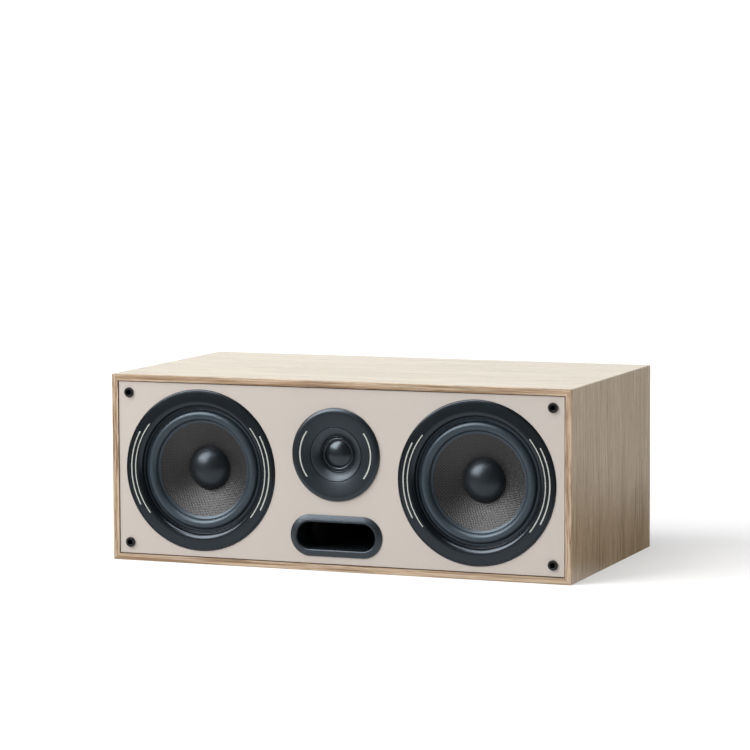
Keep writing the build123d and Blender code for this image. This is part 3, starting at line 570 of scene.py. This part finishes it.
# The numbers after the colours follow the order of each class's fields.
SLOT_FINISHES: Dict[str, Finish] = {finish.name: finish for finish in (
    Moulding("back_vinyl", (0.020, 0.020, 0.021, 1.0), 0.5, 900.0, 0.12, 0.15, 0.45),
    Moulding("trim_plastic", DARK_BLUE, 0.24, 2200.0, 0.008, 0.08, 0.75, sheen=COOL),
    Metal("accent_silver", paint(216, 218, 210), 0.36, 1500.0, 0.01, 0.08, 0.4),
    Moulding("surround_rubber", (0.0245, 0.0335, 0.0435, 1.0), 0.38, 1800.0, 0.015, 0.1, 1.0, sheen=COLD),
    Weave("cone_weave", (0.044, 0.038, 0.041, 1.0), (0.004, 0.003, 0.004, 1.0), (0.002, 0.002, 0.002, 1.0),
          1.7, 0.34, 0.34, 0.8),
    Moulding("cap_rubber", (0.0110, 0.0128, 0.0150, 1.0), 0.34, 2000.0, 0.012, 0.08, 0.75, sheen=COOL),
    Moulding("dome_gloss", (0.0070, 0.0082, 0.0098, 1.0), 0.27, 1200.0, 0.004, 0.05, 0.9, 0.1, COOL),
    Metal("cast_basket", (0.09, 0.09, 0.095, 1.0), 0.5, 500.0, 0.08, 0.3),
    Metal("plated_steel", (0.55, 0.55, 0.54, 1.0), 0.28, 600.0, 0.02, 0.25),
    Metal("black_steel", (0.045, 0.045, 0.05, 1.0), 0.4, 600.0, 0.02, 0.3),
    Fibre("ferrite", (0.028, 0.028, 0.03, 1.0), 900.0, 0.1, 0.25),
    Winding("copper_coil", (0.62, 0.27, 0.13, 1.0)),
    Weave("spider_cloth", (0.42, 0.30, 0.14, 1.0), (0.36, 0.25, 0.11, 1.0), (0.12, 0.08, 0.04, 1.0),
          0.9),
    Fibre("foam", (0.03, 0.03, 0.032, 1.0), 1200.0, 0.2),
    Moulding("port_plastic", (0.0085, 0.0106, 0.0130, 1.0), 0.36, 520.0, 0.6, 0.3, 1.0, sheen=COOL),
    Fibre("duct_card", (0.05, 0.05, 0.052, 1.0), 700.0, 0.08),
    Moulding("socket_rubber", NEAR_BLACK, 0.45, 1600.0, 0.03, 0.12, 0.45),
    Moulding("cup_plastic", (0.012, 0.012, 0.013, 1.0), 0.4, 1500.0, 0.05, 0.12, 0.45),
    Metal("gold_plate", (0.83, 0.60, 0.26, 1.0), 0.2, 900.0, 0.008, 0.12),
    Moulding("red_plastic", (0.40, 0.012, 0.012, 1.0), 0.32, 1500.0, 0.02, 0.06, 0.5),
    Moulding("black_plastic", (0.011, 0.011, 0.012, 1.0), 0.32, 1500.0, 0.02, 0.1, 0.5),
    Weave("board_laminate", (0.055, 0.17, 0.06, 1.0), (0.05, 0.15, 0.055, 1.0), (0.03, 0.1, 0.035, 1.0),
          0.6, 0.02),
    Moulding("film_case", (0.42, 0.34, 0.06, 1.0), 0.3, 300.0, 0.01, 0.06, 0.5, 0.2),
    Fibre("cement", (0.62, 0.60, 0.56, 1.0), 800.0, 0.1, 0.12),
    Moulding("nylon", (0.55, 0.54, 0.50, 1.0), 0.45, 1000.0, 0.02, 0.05),
    Fibre("polyester", (0.66, 0.66, 0.64, 1.0), 260.0, 1.2, 0.2),
    Moulding("lead_pvc", (0.02, 0.02, 0.022, 1.0), 0.4, 800.0, 0.02, 0.1),
)}
SLOT_FINISHES["oak_wrap"] = OakWrap("oak_lengthways", Grain.ALONG_X)
SLOT_FINISHES["baffle_paint"] = Lacquer("greige_paint", paint(197, 188, 180))

OAK_UPRIGHT = OakWrap("oak_upright", Grain.ALONG_Z, paint(190, 169, 142), paint(170, 148, 120), paint(139, 118, 93),
                      figure=0.7, run=3.0)
PLATE_SATIN = Moulding("plate_satin", (0.0060, 0.0078, 0.0100, 1.0), 0.32, 900.0, 0.05, 0.12, 0.9, sheen=COOL)
GUIDE_SATIN = Moulding("guide_satin", (0.0130, 0.0155, 0.0180, 1.0), 0.40, 520.0, 0.35, 0.2, 1.0, sheen=COOL)
NODE_FINISHES: Dict[str, Finish] = {
    "left_panel": OAK_UPRIGHT,
    "right_panel": OAK_UPRIGHT,
    "tweeter_plate": PLATE_SATIN,
    "tweeter_waveguide": GUIDE_SATIN,
}


class FinishShelf:
    """Materials that have been made, by the names of their finishes."""

    def __init__(self) -> None:
        """Start with none made."""
        self.made: Dict[str, bpy.types.Material] = {}

    def take(self, finish: Finish) -> bpy.types.Material:
        """Give a finish's material, made once.

        Args:
            finish: One of the finishes.

        Returns:
            Its material.
        """
        if finish.name not in self.made:
            self.made[finish.name] = finish.material()
        return self.made[finish.name]

    def dress_nodes(self) -> None:
        """Give every node of the frame the finish of its slot, or its own."""
        for row in frame["record"]["subparts"]:
            name = row["node"]
            finish = NODE_FINISHES.get(name, SLOT_FINISHES[row["material_slot"]])
            node = frame["nodes"][name]
            node.data.materials.clear()
            node.data.materials.append(self.take(finish))
            LOG.info("node %s takes %s", name, finish.name)


SHELF = FinishShelf()


class Section:
    """Outline in (radius, depth) beside an axis that runs back, turned into a piece by a spin."""

    def __init__(self, x: float, z: float, r: float, d: float) -> None:
        """Put down the first point.

        Args:
            x: Place of the axis across the front, in millimetres.
            z: Height of the axis.
            r: Radius of the first point.
            d: Depth of the first point.
        """
        self.x = x
        self.z = z
        self.mesh = bmesh.new()
        self.points = [self.mesh.verts.new(self._at(r, d))]
        self.corners: List[Point] = [(r, d)]

    def _at(self, r: float, d: float) -> Vector:
        """Place of a point of the outline, in metres."""
        return Vector((self.x + r, FRONT_Y + d, self.z)) * MM

    def line(self, *corners: Point) -> "Section":
        """Go on in straight lines.

        Args:
            corners: Radius and depth of each next point.

        Returns:
            This outline.
        """
        for r, d in corners:
            point = self.mesh.verts.new(self._at(r, d))
            self.mesh.edges.new((self.points[-1], point))
            self.points.append(point)
            self.corners.append((r, d))
        return self

    def arc(self, middle: Point, end: Point, steps: int = 14) -> "Section":
        """Go on in an arc, by spinning the last point about the arc's centre.

        Args:
            middle: A point that the arc passes.
            end: Where the arc ends.
            steps: Straight pieces in the arc.

        Returns:
            This outline.
        """
        start = Vector(self.corners[-1])
        through, stop = Vector(middle), Vector(end)
        chord_a, chord_b = through - start, stop - start
        twice_area = 2.0 * (chord_a.x * chord_b.y - chord_a.y * chord_b.x)
        length_a, length_b = chord_a.length_squared, chord_b.length_squared
        centre = start + Vector((chord_b.y * length_a - chord_a.y * length_b,
                                 chord_a.x * length_b - chord_b.x * length_a)) / twice_area
        out, back = start - centre, stop - centre
        sweep = math.atan2(out.x * back.y - out.y * back.x, out.dot(back))
        if sweep * twice_area < 0:
            sweep += math.copysign(2 * math.pi, twice_area)
        made = bmesh.ops.spin(self.mesh, geom=[self.points[-1]], cent=self._at(centre.x, centre.y),
                              axis=(0, 0, 1), angle=sweep, steps=steps)
        self.points.append(next(g for g in made["geom_last"] if isinstance(g, bmesh.types.BMVert)))
        self.corners.append(end)
        return self

    def close(self) -> "Section":
        """Join the last point to the first."""
        self.mesh.edges.new((self.points[-1], self.points[0]))
        return self

    def soften(self, offsets: Dict[int, float], segments: int = 4) -> "Section":
        """Round some corners of the outline.

        Args:
            offsets: How far each rounding reaches, in millimetres, by the number of its point.
            segments: Straight pieces in each rounding.

        Returns:
            This outline.
        """
        for number, offset in offsets.items():
            bmesh.ops.bevel(self.mesh, geom=[self.points[number]], offset=offset * MM, offset_type="OFFSET",
                            affect="VERTICES", segments=segments, profile=0.5, material=-1)
        return self

    def turn(self, steps: int = TURN_STEPS) -> bmesh.types.BMesh:
        """Spin the outline all the way round its axis.

        Args:
            steps: Facets in the round.

        Returns:
            The closed mesh.
        """
        bmesh.ops.spin(self.mesh, geom=self.mesh.verts[:] + self.mesh.edges[:], cent=self._at(0.0, 0.0),
                       axis=(0, 1, 0), angle=2 * math.pi, steps=steps, use_merge=True, use_duplicate=False)
        bmesh.ops.remove_doubles(self.mesh, verts=self.mesh.verts[:], dist=1e-6)
        bmesh.ops.recalc_face_normals(self.mesh, faces=self.mesh.faces[:])
        return self.mesh


def add_strips(mesh: bmesh.types.BMesh, centre: Point, radius: float, width: float, depth: float, half: float) -> None:
    """Add a curved strip with softened edges on each side of a driver's axis.

    Args:
        mesh: Mesh that the strips go into.
        centre: Place of the axis, across and up.
        radius: Radius of the strips' middle line.
        width: Width of a strip.
        depth: Depth of its face.
        half: Half of the angle that it spans, in degrees.
    """
    x, z = centre
    inner, outer, back = radius - width / 2, radius + width / 2, depth + ARC_T
    axis_point = Vector((x, FRONT_Y, z)) * MM
    for middle in (0.0, 180.0):
        strip = bmesh.new()
        corners = ((inner, depth), (outer, depth), (outer, back), (inner, back))
        verts = [strip.verts.new(Vector((x + r, FRONT_Y + d, z)) * MM) for r, d in corners]
        face = strip.faces.new(verts)
        start = Matrix.Rotation(math.radians(half - middle), 3, "Y")
        bmesh.ops.rotate(strip, verts=verts, cent=axis_point, matrix=start)
        bmesh.ops.spin(strip, geom=[face], cent=axis_point, axis=(0, 1, 0), angle=math.radians(-2 * half), steps=48)
        open_edges = [edge for edge in strip.edges if edge.is_boundary]
        bmesh.ops.holes_fill(strip, edges=open_edges, sides=4)
        bmesh.ops.recalc_face_normals(strip, faces=strip.faces[:])
        hard = [edge for edge in strip.edges if edge.calc_face_angle(0.0) > SMOOTH_ANGLE]
        bmesh.ops.bevel(strip, geom=hard, offset=ARC_EDGE * MM, offset_type="OFFSET", affect="EDGES", segments=2,
                        profile=0.5, material=-1)
        join(mesh, strip)


def join(mesh: bmesh.types.BMesh, other: bmesh.types.BMesh) -> None:
    """Move one mesh into another.

    Args:
        mesh: Mesh that grows.
        other: Mesh that is used up.
    """
    carrier = bpy.data.meshes.new("carrier")
    other.to_mesh(carrier)
    other.free()
    mesh.from_mesh(carrier)
    bpy.data.meshes.remove(carrier)


def make_piece(mesh: bmesh.types.BMesh, name: str, slot: str, stands_for: str) -> bpy.types.Object:
    """Turn a mesh into a smooth-shaded piece that stands for a node.

    Args:
        mesh: Mesh in the frame, which is used up.
        name: Name of the piece.
        slot: Material slot that it takes its finish from.
        stands_for: Node that it replaces.

    Returns:
        The piece, which doesn't ride on a body yet.
    """
    data = bpy.data.meshes.new(name)
    for face in mesh.faces:
        face.smooth = True
    mesh.to_mesh(data)
    mesh.free()
    data.set_sharp_from_angle(angle=SMOOTH_ANGLE)
    piece = bpy.data.objects.new(name, data)
    bpy.context.scene.collection.objects.link(piece)
    data.materials.append(SHELF.take(NODE_FINISHES.get(stands_for, SLOT_FINISHES[slot])))
    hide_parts(stands_for)
    LOG.info("piece %s stands for %s with %d faces", name, stands_for, len(data.polygons))
    return piece


def flex(piece: bpy.types.Object, centre: Point, outer: float, inner: float) -> None:
    """Bake a ring's place into its mesh and work out, for each point, a share that eases from 0 at the outer radius to
    1 at the inner one; the share is not kept.

    Args:
        piece: The ring, with no parent.
        centre: Place of the axis, across and up, in millimetres.
        outer: Radius at which the share is 0.
        inner: Radius at which the share is 1.
    """
    x, z = centre
    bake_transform(piece)
    for vert in piece.data.vertices:
        radius = math.hypot(vert.co.x / MM - x, vert.co.z / MM - z)
        share = min(1.0, max(0.0, (outer - radius) / (outer - inner)))
        share * share * (3.0 - 2.0 * share)


def dome_middle(radius: float, base: float, height: float) -> Point:
    """Find the point halfway along a dome's arc.

    Args:
        radius: Radius of the dome's rim.
        base: Depth of its rim.
        height: Height of its crown over the rim.

    Returns:
        The point's radius and depth.
    """
    half = math.atan(height / radius)
    ball = radius / math.sin(2 * half)
    return (ball * math.sin(half), base - height + ball * (1 - math.cos(half)))


@dataclass
class Woofer:
    """One woofer: trim with its arcs, surround, cone, dust cap and spider."""

    side: Side
    across: float = 155.0
    height: float = 100.0
    gasket_r: float = 86.1
    gasket_t: float = 0.35
    trim_r: float = 85.5
    trim_top: float = -0.8
    edge_drop: float = 1.2
    rim_r: float = 84.3
    rim_w: float = 0.3
    rim_drop: float = 0.75
    groove_w: float = 0.4
    groove_drop: float = 1.15
    land_r: float = 83.7
    land_drop: float = 0.63
    crown_drop: float = 0.16
    ridge_r: float = 74.3
    arcs: Tuple[Tuple[float, float, float], ...] = ((75.0, -0.8, 39.5), (79.6, -0.703, 29.5))
    arc_w: float = 1.4
    step_r: float = 68.0
    throat_r: float = 66.4
    foot_r: float = 71.5
    step_d: float = 5.5
    seat_d: float = 8.5
    roll_r: float = 63.6
    lip_r: float = 52.9
    lip_d: float = 9.2
    ring_r: float = 50.2
    ring_d: float = 9.69
    rubber_t: float = 0.6
    cone_r: float = 47.9
    cone_d: float = 11.4
    cone_t: float = 1.0
    neck_r: float = 16.1
    neck_d: float = 29.0
    collar: float = 2.8
    cap_r: float = 23.5
    cap_h: float = 13.0
    cap_t: float = 0.7
    cap_sink: float = 0.1
    spider_r: float = 49.5
    spider_rim_r: float = 44.0
    spider_in_r: float = 16.3
    spider_d: float = 36.0
    cloth_t: float = 0.6
    waves: int = 8
    wave_h: float = 1.8

    @property
    def centre(self) -> Point:
        """Place of the woofer's axis, across and up."""
        return (self.side.value * self.across, self.height)

    @property
    def moving(self) -> str:
        """Body of the cone."""
        return f"{self.side.word}_woofer_moving"

    def _name(self, part: str) -> str:
        """Name of one of the woofer's nodes."""
        return f"{self.side.word}_woofer_{part}"

    def trim(self) -> None:
        """Trim ring on its gasket, with a grooved rim and a crowned land that rounds over to an inner step."""
        top, seam = self.trim_top, BAFFLE_D - self.gasket_t
        section = Section(*self.centre, self.foot_r, BAFFLE_D)
        section.line((self.gasket_r, BAFFLE_D), (self.gasket_r, seam), (self.trim_r, seam))
        section.line((self.trim_r, top + self.edge_drop), (self.rim_r + self.rim_w, top + self.rim_drop))
        section.line((self.rim_r, top + self.groove_drop), (self.rim_r - self.groove_w, top + self.groove_drop))
        section.line((self.land_r, top + self.land_drop))
        section.arc(((self.land_r + self.ridge_r) / 2, top + self.crown_drop), (self.ridge_r, top), 16)
        bend = 1.0 - math.sqrt(0.5)
        wall_middle = (self.step_r + bend * (self.ridge_r - self.step_r), top + bend * (self.step_d - top))
        section.arc(wall_middle, (self.step_r, self.step_d), 20)
        section.line((self.throat_r, self.step_d), (self.throat_r, self.seat_d), (self.foot_r, self.seat_d)).close()
        section.soften({4: 0.12, 5: 0.1, 8: 0.1, 10: 0.3, 11: 0.3})
        piece = make_piece(section.turn(), self._name("trim_ring"), "trim_plastic", self._name("trim"))
        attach(piece, "cabinet")

    def accents(self) -> None:
        """Silver arcs let into both sides of the trim."""
        mesh = bmesh.new()
        for radius, depth, half in self.arcs:
            add_strips(mesh, self.centre, radius, self.arc_w, depth, half)
        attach(make_piece(mesh, self._name("arcs"), "accent_silver", self._name("accents")), "cabinet")

    def surround(self) -> None:
        """Rubber half-roll round the cone."""
        crest_r = (self.roll_r + self.lip_r) / 2
        crest_d = self.seat_d - (self.roll_r - self.lip_r) / 2
        thick = self.rubber_t
        under = self.seat_d + thick
        section = Section(*self.centre, self.foot_r, self.seat_d)
        section.line((self.roll_r, self.seat_d)).arc((crest_r, crest_d), (self.lip_r, self.seat_d), 24)
        section.line((self.ring_r, self.ring_d), (self.ring_r, self.ring_d + thick))
        section.line((self.lip_r, under), (self.lip_r + thick, under))
        section.arc((crest_r, crest_d + thick), (self.roll_r - thick, under), 24)
        section.line((self.foot_r, under)).close().soften({1: 0.7, 2: 0.7})
        piece = make_piece(section.turn(), self._name("half_roll"), "surround_rubber", self._name("surround"))
        flex(piece, self.centre, self.roll_r, self.lip_r)

    def cone(self) -> None:
        """Woven cone with its glued rim and neck collar."""
        thick, end = self.cone_t, self.neck_d + self.collar
        section = Section(*self.centre, self.lip_r, self.lip_d)
        section.line((self.cone_r, self.cone_d), (self.neck_r, self.neck_d), (self.neck_r, end))
        section.line((self.neck_r + thick, end), (self.neck_r + thick, self.neck_d + thick))
        section.line((self.cone_r, self.cone_d + thick), (self.lip_r, self.lip_d + thick)).close()
        piece = make_piece(section.turn(), self._name("woven_cone"), "cone_weave", self._name("cone"))
        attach(piece, self.moving)

    def dust_cap(self) -> None:
        """Domed cap glued to the cone."""
        slope = (self.neck_d - self.cone_d) / (self.cone_r - self.neck_r)
        base = self.cone_d + slope * (self.cone_r - self.cap_r) - self.cap_sink
        inside, height = self.cap_r - self.cap_t, self.cap_h - self.cap_t
        section = Section(*self.centre, 0.0, base - height)
        section.arc(dome_middle(inside, base, height), (inside, base), 20)
        section.line((self.cap_r, base))
        section.arc(dome_middle(self.cap_r, base, self.cap_h), (0.0, base - self.cap_h), 28)
        piece = make_piece(section.turn(), self._name("domed_cap"), "cap_rubber", self._name("dust_cap"))
        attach(piece, self.moving)

    def spider(self) -> None:
        """Corrugated cloth that centres the coil."""
        rim, inner = self.spider_rim_r, self.spider_in_r
        pitch = (rim - inner) / self.waves
        front = [(rim - k * pitch, self.spider_d - k % 2 * self.wave_h) for k in range(self.waves + 1)]
        back = [(r, d + self.cloth_t) for r, d in reversed(front)]
        section = Section(*self.centre, self.spider_r, self.spider_d)
        section.line(*front, *back, (self.spider_r, self.spider_d + self.cloth_t)).close()
        section.soften({k: 1.0 for k in range(2, self.waves + 1)}, 3)
        piece = make_piece(section.turn(SMALL_TURN_STEPS), self._name("corrugated_cloth"), "spider_cloth",
                           self._name("spider"))
        flex(piece, self.centre, rim, inner)

    def build(self) -> None:
        """Make all the pieces."""
        self.trim()
        self.accents()
        self.surround()
        self.cone()
        self.dust_cap()
        self.spider()


@dataclass
class Tweeter:
    """Dome tweeter: plate with its arcs, waveguide and diaphragm."""

    centre: Point = (0.0, 123.0)
    plate_r: float = 49.0
    rim_d: float = 0.1
    rim_middle: Point = (46.71, -1.453)
    crown_r: float = 44.0
    crown_d: float = -2.0
    inner_r: float = 28.8
    inner_d: float = 0.4
    arc_r: float = 40.0
    arc_w: float = 2.3
    arc_d: float = -1.42
    arc_half: float = 37.0
    guide_r: float = 28.25
    flare_middle: Point = (22.85, 3.05)
    throat_r: float = 19.4
    throat_d: float = 6.6
    seat_d: float = 8.2
    foot_r: float = 21.0
    foot_d: float = 6.7
    dome_r: float = 14.2
    dome_h: float = 4.9
    roll_w: float = 3.4
    roll_h: float = 1.2
    film_t: float = 0.3
    clamp_r: float = 18.6
    clamp_h: float = 1.0
    clamp_half: float = 0.45

    def plate(self) -> None:
        """Round plate that rises to a crown and falls to the waveguide."""
        section = Section(*self.centre, self.plate_r, BAFFLE_D)
        section.line((self.plate_r, self.rim_d)).arc(self.rim_middle, (self.crown_r, self.crown_d), 10)
        section.line((self.inner_r, self.inner_d), (self.inner_r, BAFFLE_D)).close()
        section.soften({1: 0.3, 2: 1.6, 3: 0.4})
        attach(make_piece(section.turn(), "tweeter_round_plate", "trim_plastic", "tweeter_plate"), "cabinet")

    def accents(self) -> None:
        """One pair of silver arcs."""
        mesh = bmesh.new()
        add_strips(mesh, self.centre, self.arc_r, self.arc_w, self.arc_d, self.arc_half)
        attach(make_piece(mesh, "tweeter_arcs", "accent_silver", "tweeter_accents"), "cabinet")

    def waveguide(self) -> None:
        """Ring that flares from the throat to the plate."""
        section = Section(*self.centre, self.guide_r, self.inner_d)
        section.arc(self.flare_middle, (self.throat_r, self.throat_d), 20)
        section.line((self.throat_r, self.seat_d), (self.foot_r, self.seat_d), (self.foot_r, self.foot_d),
                     (self.guide_r, self.foot_d)).close().soften({0: 0.4, 1: 0.4})
        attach(make_piece(section.turn(), "tweeter_flare", "trim_plastic", "tweeter_waveguide"), "cabinet")

    def diaphragm(self) -> None:
        """Glossy dome with its roll and a thin clamp ring outside the roll."""
        seat, film = self.seat_d, self.film_t
        back, roll_end, crest = seat + film, self.dome_r + self.roll_w, self.dome_r + self.roll_w / 2
        section = Section(*self.centre, 0.0, seat - self.dome_h)
        section.arc(dome_middle(self.dome_r, seat, self.dome_h), (self.dome_r, seat), 24)
        section.arc((crest, seat - self.roll_h), (roll_end, seat), 14)
        inside, outside, top = self.clamp_r - self.clamp_half, self.clamp_r + self.clamp_half, seat - self.clamp_h
        section.line((inside, seat), (inside, top)).arc((self.clamp_r, top - self.clamp_half), (outside, top), 8)
        section.line((outside, seat), (self.foot_r, seat), (self.foot_r, back), (roll_end - film, back))
        section.arc((crest, seat - self.roll_h + film), (self.dome_r + film, back), 14)
        inside, height = self.dome_r - film, self.dome_h - film
        section.line((inside, back), (inside, seat)).arc(dome_middle(inside, seat, height), (0.0, seat - height), 24)
        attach(make_piece(section.turn(), "tweeter_dome", "dome_gloss", "tweeter_diaphragm"), "cabinet")

    def build(self) -> None:
        """Make all the pieces."""
        self.plate()
        self.accents()
        self.waveguide()
        self.diaphragm()


@dataclass
class SlotPort:
    """Flange of the port, with a sloping rim that rolls into the opening, and the sleeve behind it."""

    height: float = 37.2
    half_straight: float = 29.65
    outer_r: float = 21.85
    open_r: float = 14.2
    sleeve_r: float = 16.6
    edge_d: float = 0.4
    crest: Point = (2.43, -1.542)
    roll_middle: Point = (0.77, -1.334)
    roll_end: float = 0.144
    sleeve_end: float = 41.2

    def build(self) -> None:
        """Turn a round flange and draw its two halves apart."""
        crest, middle = ((self.open_r + w, d) for w, d in (self.crest, self.roll_middle))
        section = Section(0.0, self.height, self.outer_r, BAFFLE_D)
        section.line((self.outer_r, self.edge_d), crest).arc(middle, (self.open_r, self.roll_end), 12)
        section.line((self.open_r, self.sleeve_end), (self.sleeve_r, self.sleeve_end), (self.sleeve_r, BAFFLE_D))
        section.close().soften({1: 0.3})
        half_step = Matrix.Rotation(math.pi / TURN_STEPS, 3, "Y")
        axis_point = Vector((0.0, FRONT_Y, self.height)) * MM
        bmesh.ops.rotate(section.mesh, verts=section.mesh.verts[:], cent=axis_point, matrix=half_step)
        mesh = section.turn()
        for way in (-1.0, 1.0):
            half = [vert for vert in mesh.verts if vert.co.x * way > 0]
            bmesh.ops.translate(mesh, verts=half, vec=(way * self.half_straight * MM, 0.0, 0.0))
        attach(make_piece(mesh, "port_mouth", "port_plastic", "port_flange"), "cabinet")


@dataclass
class GrilleSockets:
    """Four rubber cups for a grille's pegs."""

    across: float = 237.5
    low: float = 19.5
    high: float = 180.5
    flange_r: float = 5.25
    bore_r: float = 2.85
    body_r: float = 4.2
    front: float = -0.8
    bore_end: float = 9.2
    body_end: float = 12.2

    def build(self) -> None:
        """Turn each cup and join the four."""
        mesh = bmesh.new()
        for x in (-self.across, self.across):
            for z in (self.low, self.high):
                section = Section(x, z, 0.0, self.bore_end)
                section.line((self.bore_r, self.bore_end), (self.bore_r, self.front), (self.flange_r, self.front))
                section.line((self.flange_r, BAFFLE_D), (self.body_r, BAFFLE_D))
                section.line((self.body_r, self.body_end), (0.0, self.body_end))
                section.soften({2: 0.5, 3: 0.7}, 5)
                join(mesh, section.turn(SMALL_TURN_STEPS))
        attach(make_piece(mesh, "peg_cups", "socket_rubber", "grille_sockets"), "cabinet")


@dataclass(frozen=True)
class Lamp:
    """Square soft box that faces the cabinet."""

    name: str
    place: Tuple[float, float, float]
    size: float
    watts: float
    aim: Tuple[float, float, float] = (0.0, 0.0, 0.1)

    def build(self) -> None:
        """Hang the lamp."""
        data = bpy.data.lights.new(self.name, "AREA")
        data.shape = "SQUARE"
        data.size = self.size
        data.energy = self.watts
        lamp = bpy.data.objects.new(self.name, data)
        lamp.location = self.place
        ray = Vector(self.aim) - Vector(self.place)
        lamp.rotation_euler = ray.to_track_quat("-Z", "Y").to_euler()
        bpy.context.scene.collection.objects.link(lamp)


@dataclass
class Stage:
    """Pale floor, soft studio light and the camera."""

    floor_half: float = 5.0
    floor_tone: float = 0.68
    near_lift: float = 0.34
    far_lift: float = 0.9
    # Strengths of the painted reflection glow that the floor shows to glossy rays.
    gloss_near: float = 0.75
    gloss_far: float = 0.08
    gloss_behind: float = 0.44
    gloss_card: float = 0.16
    card_way: Point = (-0.42, -0.91)
    sky_behind: float = 1.40
    sky_tint: Colour = (0.955, 1.0, 0.95, 1.0)
    sky_front: float = 0.10
    sky_fill: float = 0.24
    right_fill: float = 1.66
    fill_way: Point = (0.8, 0.6)
    lamps: Tuple[Lamp, ...] = (
        Lamp("soft_box", (-1.95, -1.95, 2.42), 2.6, 138.0),
        Lamp("top_box", (-0.10, -0.45, 2.25), 1.2, 18.0),
    )
    azimuth: float = 21.4106
    elevation: float = 5.5468
    roll: float = -0.2451
    stand: Tuple[float, float, float] = (1.23639, -3.17971, 0.52501)
    lens: float = 152.495
    sensor: float = 36.0
    view_end: float = 60.0

    def _card(self, across: Signal, along: Signal, scale: Number) -> Signal:
        """Soft-edged patch of a pale reflector that stands in front, on the left.

        Args:
            across: Direction or place to the right.
            along: Direction or place to the back.
            scale: Factor that makes the two a direction of length one.

        Returns:
            1 in the patch and 0 outside it.
        """
        return ((across * self.card_way[0] + along * self.card_way[1]) * scale).rise(0.72, 0.95)

    def floor(self) -> None:
        """Wide floor that is white to the eye and keeps the shadow, and that shows glossy rays a painted reflection
        glow.
        """
        mesh = bmesh.new()
        bmesh.ops.create_grid(mesh, x_segments=1, y_segments=1, size=self.floor_half)
        data = bpy.data.meshes.new("floor")
        mesh.to_mesh(data)
        mesh.free()
        floor = bpy.data.objects.new("floor", data)
        bpy.context.scene.collection.objects.link(floor)
        material, g = new_material("floor_paper")
        across, along, _ = g.axes(g.place((1.0, 1.0, 1.0)))
        radius = (across * across + along * along) ** 0.5
        far = radius.rise(0.5, 1.6)
        away = radius.rise(0.35, 0.9)
        card = self._card(across, along, radius.most(0.01) ** -1.0)
        rays = g.node("ShaderNodeLightPath")
        seen = Signal(g, rays.outputs["Is Camera Ray"]).most(Signal(g, rays.outputs["Is Transmission Ray"]))
        lift = seen * (self.near_lift + far * (self.far_lift - self.near_lift))
        tone = (self.floor_tone,) * 3 + (1.0,)
        paper = g.node("ShaderNodeBsdfDiffuse", None, {"Color": tone})
        glow = g.node("ShaderNodeEmission", None, {"Strength": lift})
        both = g.node("ShaderNodeAddShader", None, {0: paper.outputs[0], 1: glow.outputs[0]})
        # Painted reflection: to glossy rays the floor glows, brightest just in front, dim far off, with a pale patch
        # on the front left that stands for a reflector card and a brighter band behind.
        near = (0.0 - along).rise(-0.05, 0.15) * self.gloss_near
        beyond = self.gloss_far + card * self.gloss_card
        reflection_glow = near + away * (beyond - near) + radius.rise(0.3, 1.0) * along.rise(0.0, 0.4) * self.gloss_behind
        sheen = g.node("ShaderNodeEmission", None, {"Strength": reflection_glow})
        surface = g.node("ShaderNodeMixShader", None, {
            0: Signal(g, rays.outputs["Is Glossy Ray"]), 1: both.outputs[0], 2: sheen.outputs[0]})
        g.node("ShaderNodeOutputMaterial", None, {"Surface": surface.outputs[0]})
        data.materials.append(material)

    def world(self) -> None:
        """Studio that is white behind the cabinet and dimmer in front, with a low even fill."""
        world = bpy.data.worlds.new("studio")
        world.use_nodes = True
        bpy.context.scene.world = world
        g = Graph(world.node_tree)
        right, back, up = g.axes(g.node("ShaderNodeTexCoord").outputs["Generated"])
        rays = g.node("ShaderNodeLightPath")
        fill = Signal(g, rays.outputs["Is Diffuse Ray"])
        seen = self.sky_front + self._card(right, back, 1.0) * self.gloss_card
        seen = seen + back.rise(-0.15, 0.25) * (self.sky_behind - self.sky_front)
        seen = seen * (1.0 - up.rise(0.15, 0.60) * 0.7)
        beside = (right * self.fill_way[0] + back * self.fill_way[1]).rise(0.5, 1.0)
        strength = seen + fill * (self.sky_fill + beside * self.right_fill - seen)
        tint = g.mix(fill.most(Signal(g, rays.outputs["Is Camera Ray"])), self.sky_tint, WHITE)
        light = g.node("ShaderNodeBackground", None, {"Color": tint, "Strength": strength})
        g.node("ShaderNodeOutputWorld", None, {"Surface": light.outputs[0]})

    def camera(self) -> None:
        """Camera at the photograph's place and angle."""
        a, e, r = (math.radians(v) for v in (self.azimuth, self.elevation, self.roll))
        back = Vector((math.sin(a) * math.cos(e), -math.cos(a) * math.cos(e), math.sin(e)))
        level = (-back).cross(Vector((0.0, 0.0, 1.0))).normalized()
        rise = level.cross(-back)
        right = level * math.cos(r) + rise * math.sin(r)
        up = rise * math.cos(r) - level * math.sin(r)
        data = bpy.data.cameras.new("camera")
        data.sensor_width = self.sensor
        data.lens = self.lens
        data.clip_end = self.view_end
        camera = bpy.data.objects.new("camera", data)
        turn = Matrix((right, up, back)).transposed().to_4x4()
        camera.matrix_world = Matrix.Translation(Vector(self.stand)) @ turn
        bpy.context.scene.collection.objects.link(camera)
        bpy.context.scene.camera = camera

    def build(self) -> None:
        """Set the stage."""
        self.floor()
        self.world()
        for lamp in self.lamps:
            lamp.build()
        self.camera()
        bpy.context.scene.view_settings.view_transform = "Standard"


def main() -> None:
    """Dress the frame, add the finer pieces and set the stage."""
    logging.basicConfig(level=logging.INFO, format="%(name)s: %(message)s")
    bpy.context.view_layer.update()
    SHELF.dress_nodes()
    for side in Side:
        Woofer(side).build()
    Tweeter().build()
    SlotPort().build()
    GrilleSockets().build()
    Stage().build()


if __name__ == "__main__":
    main()
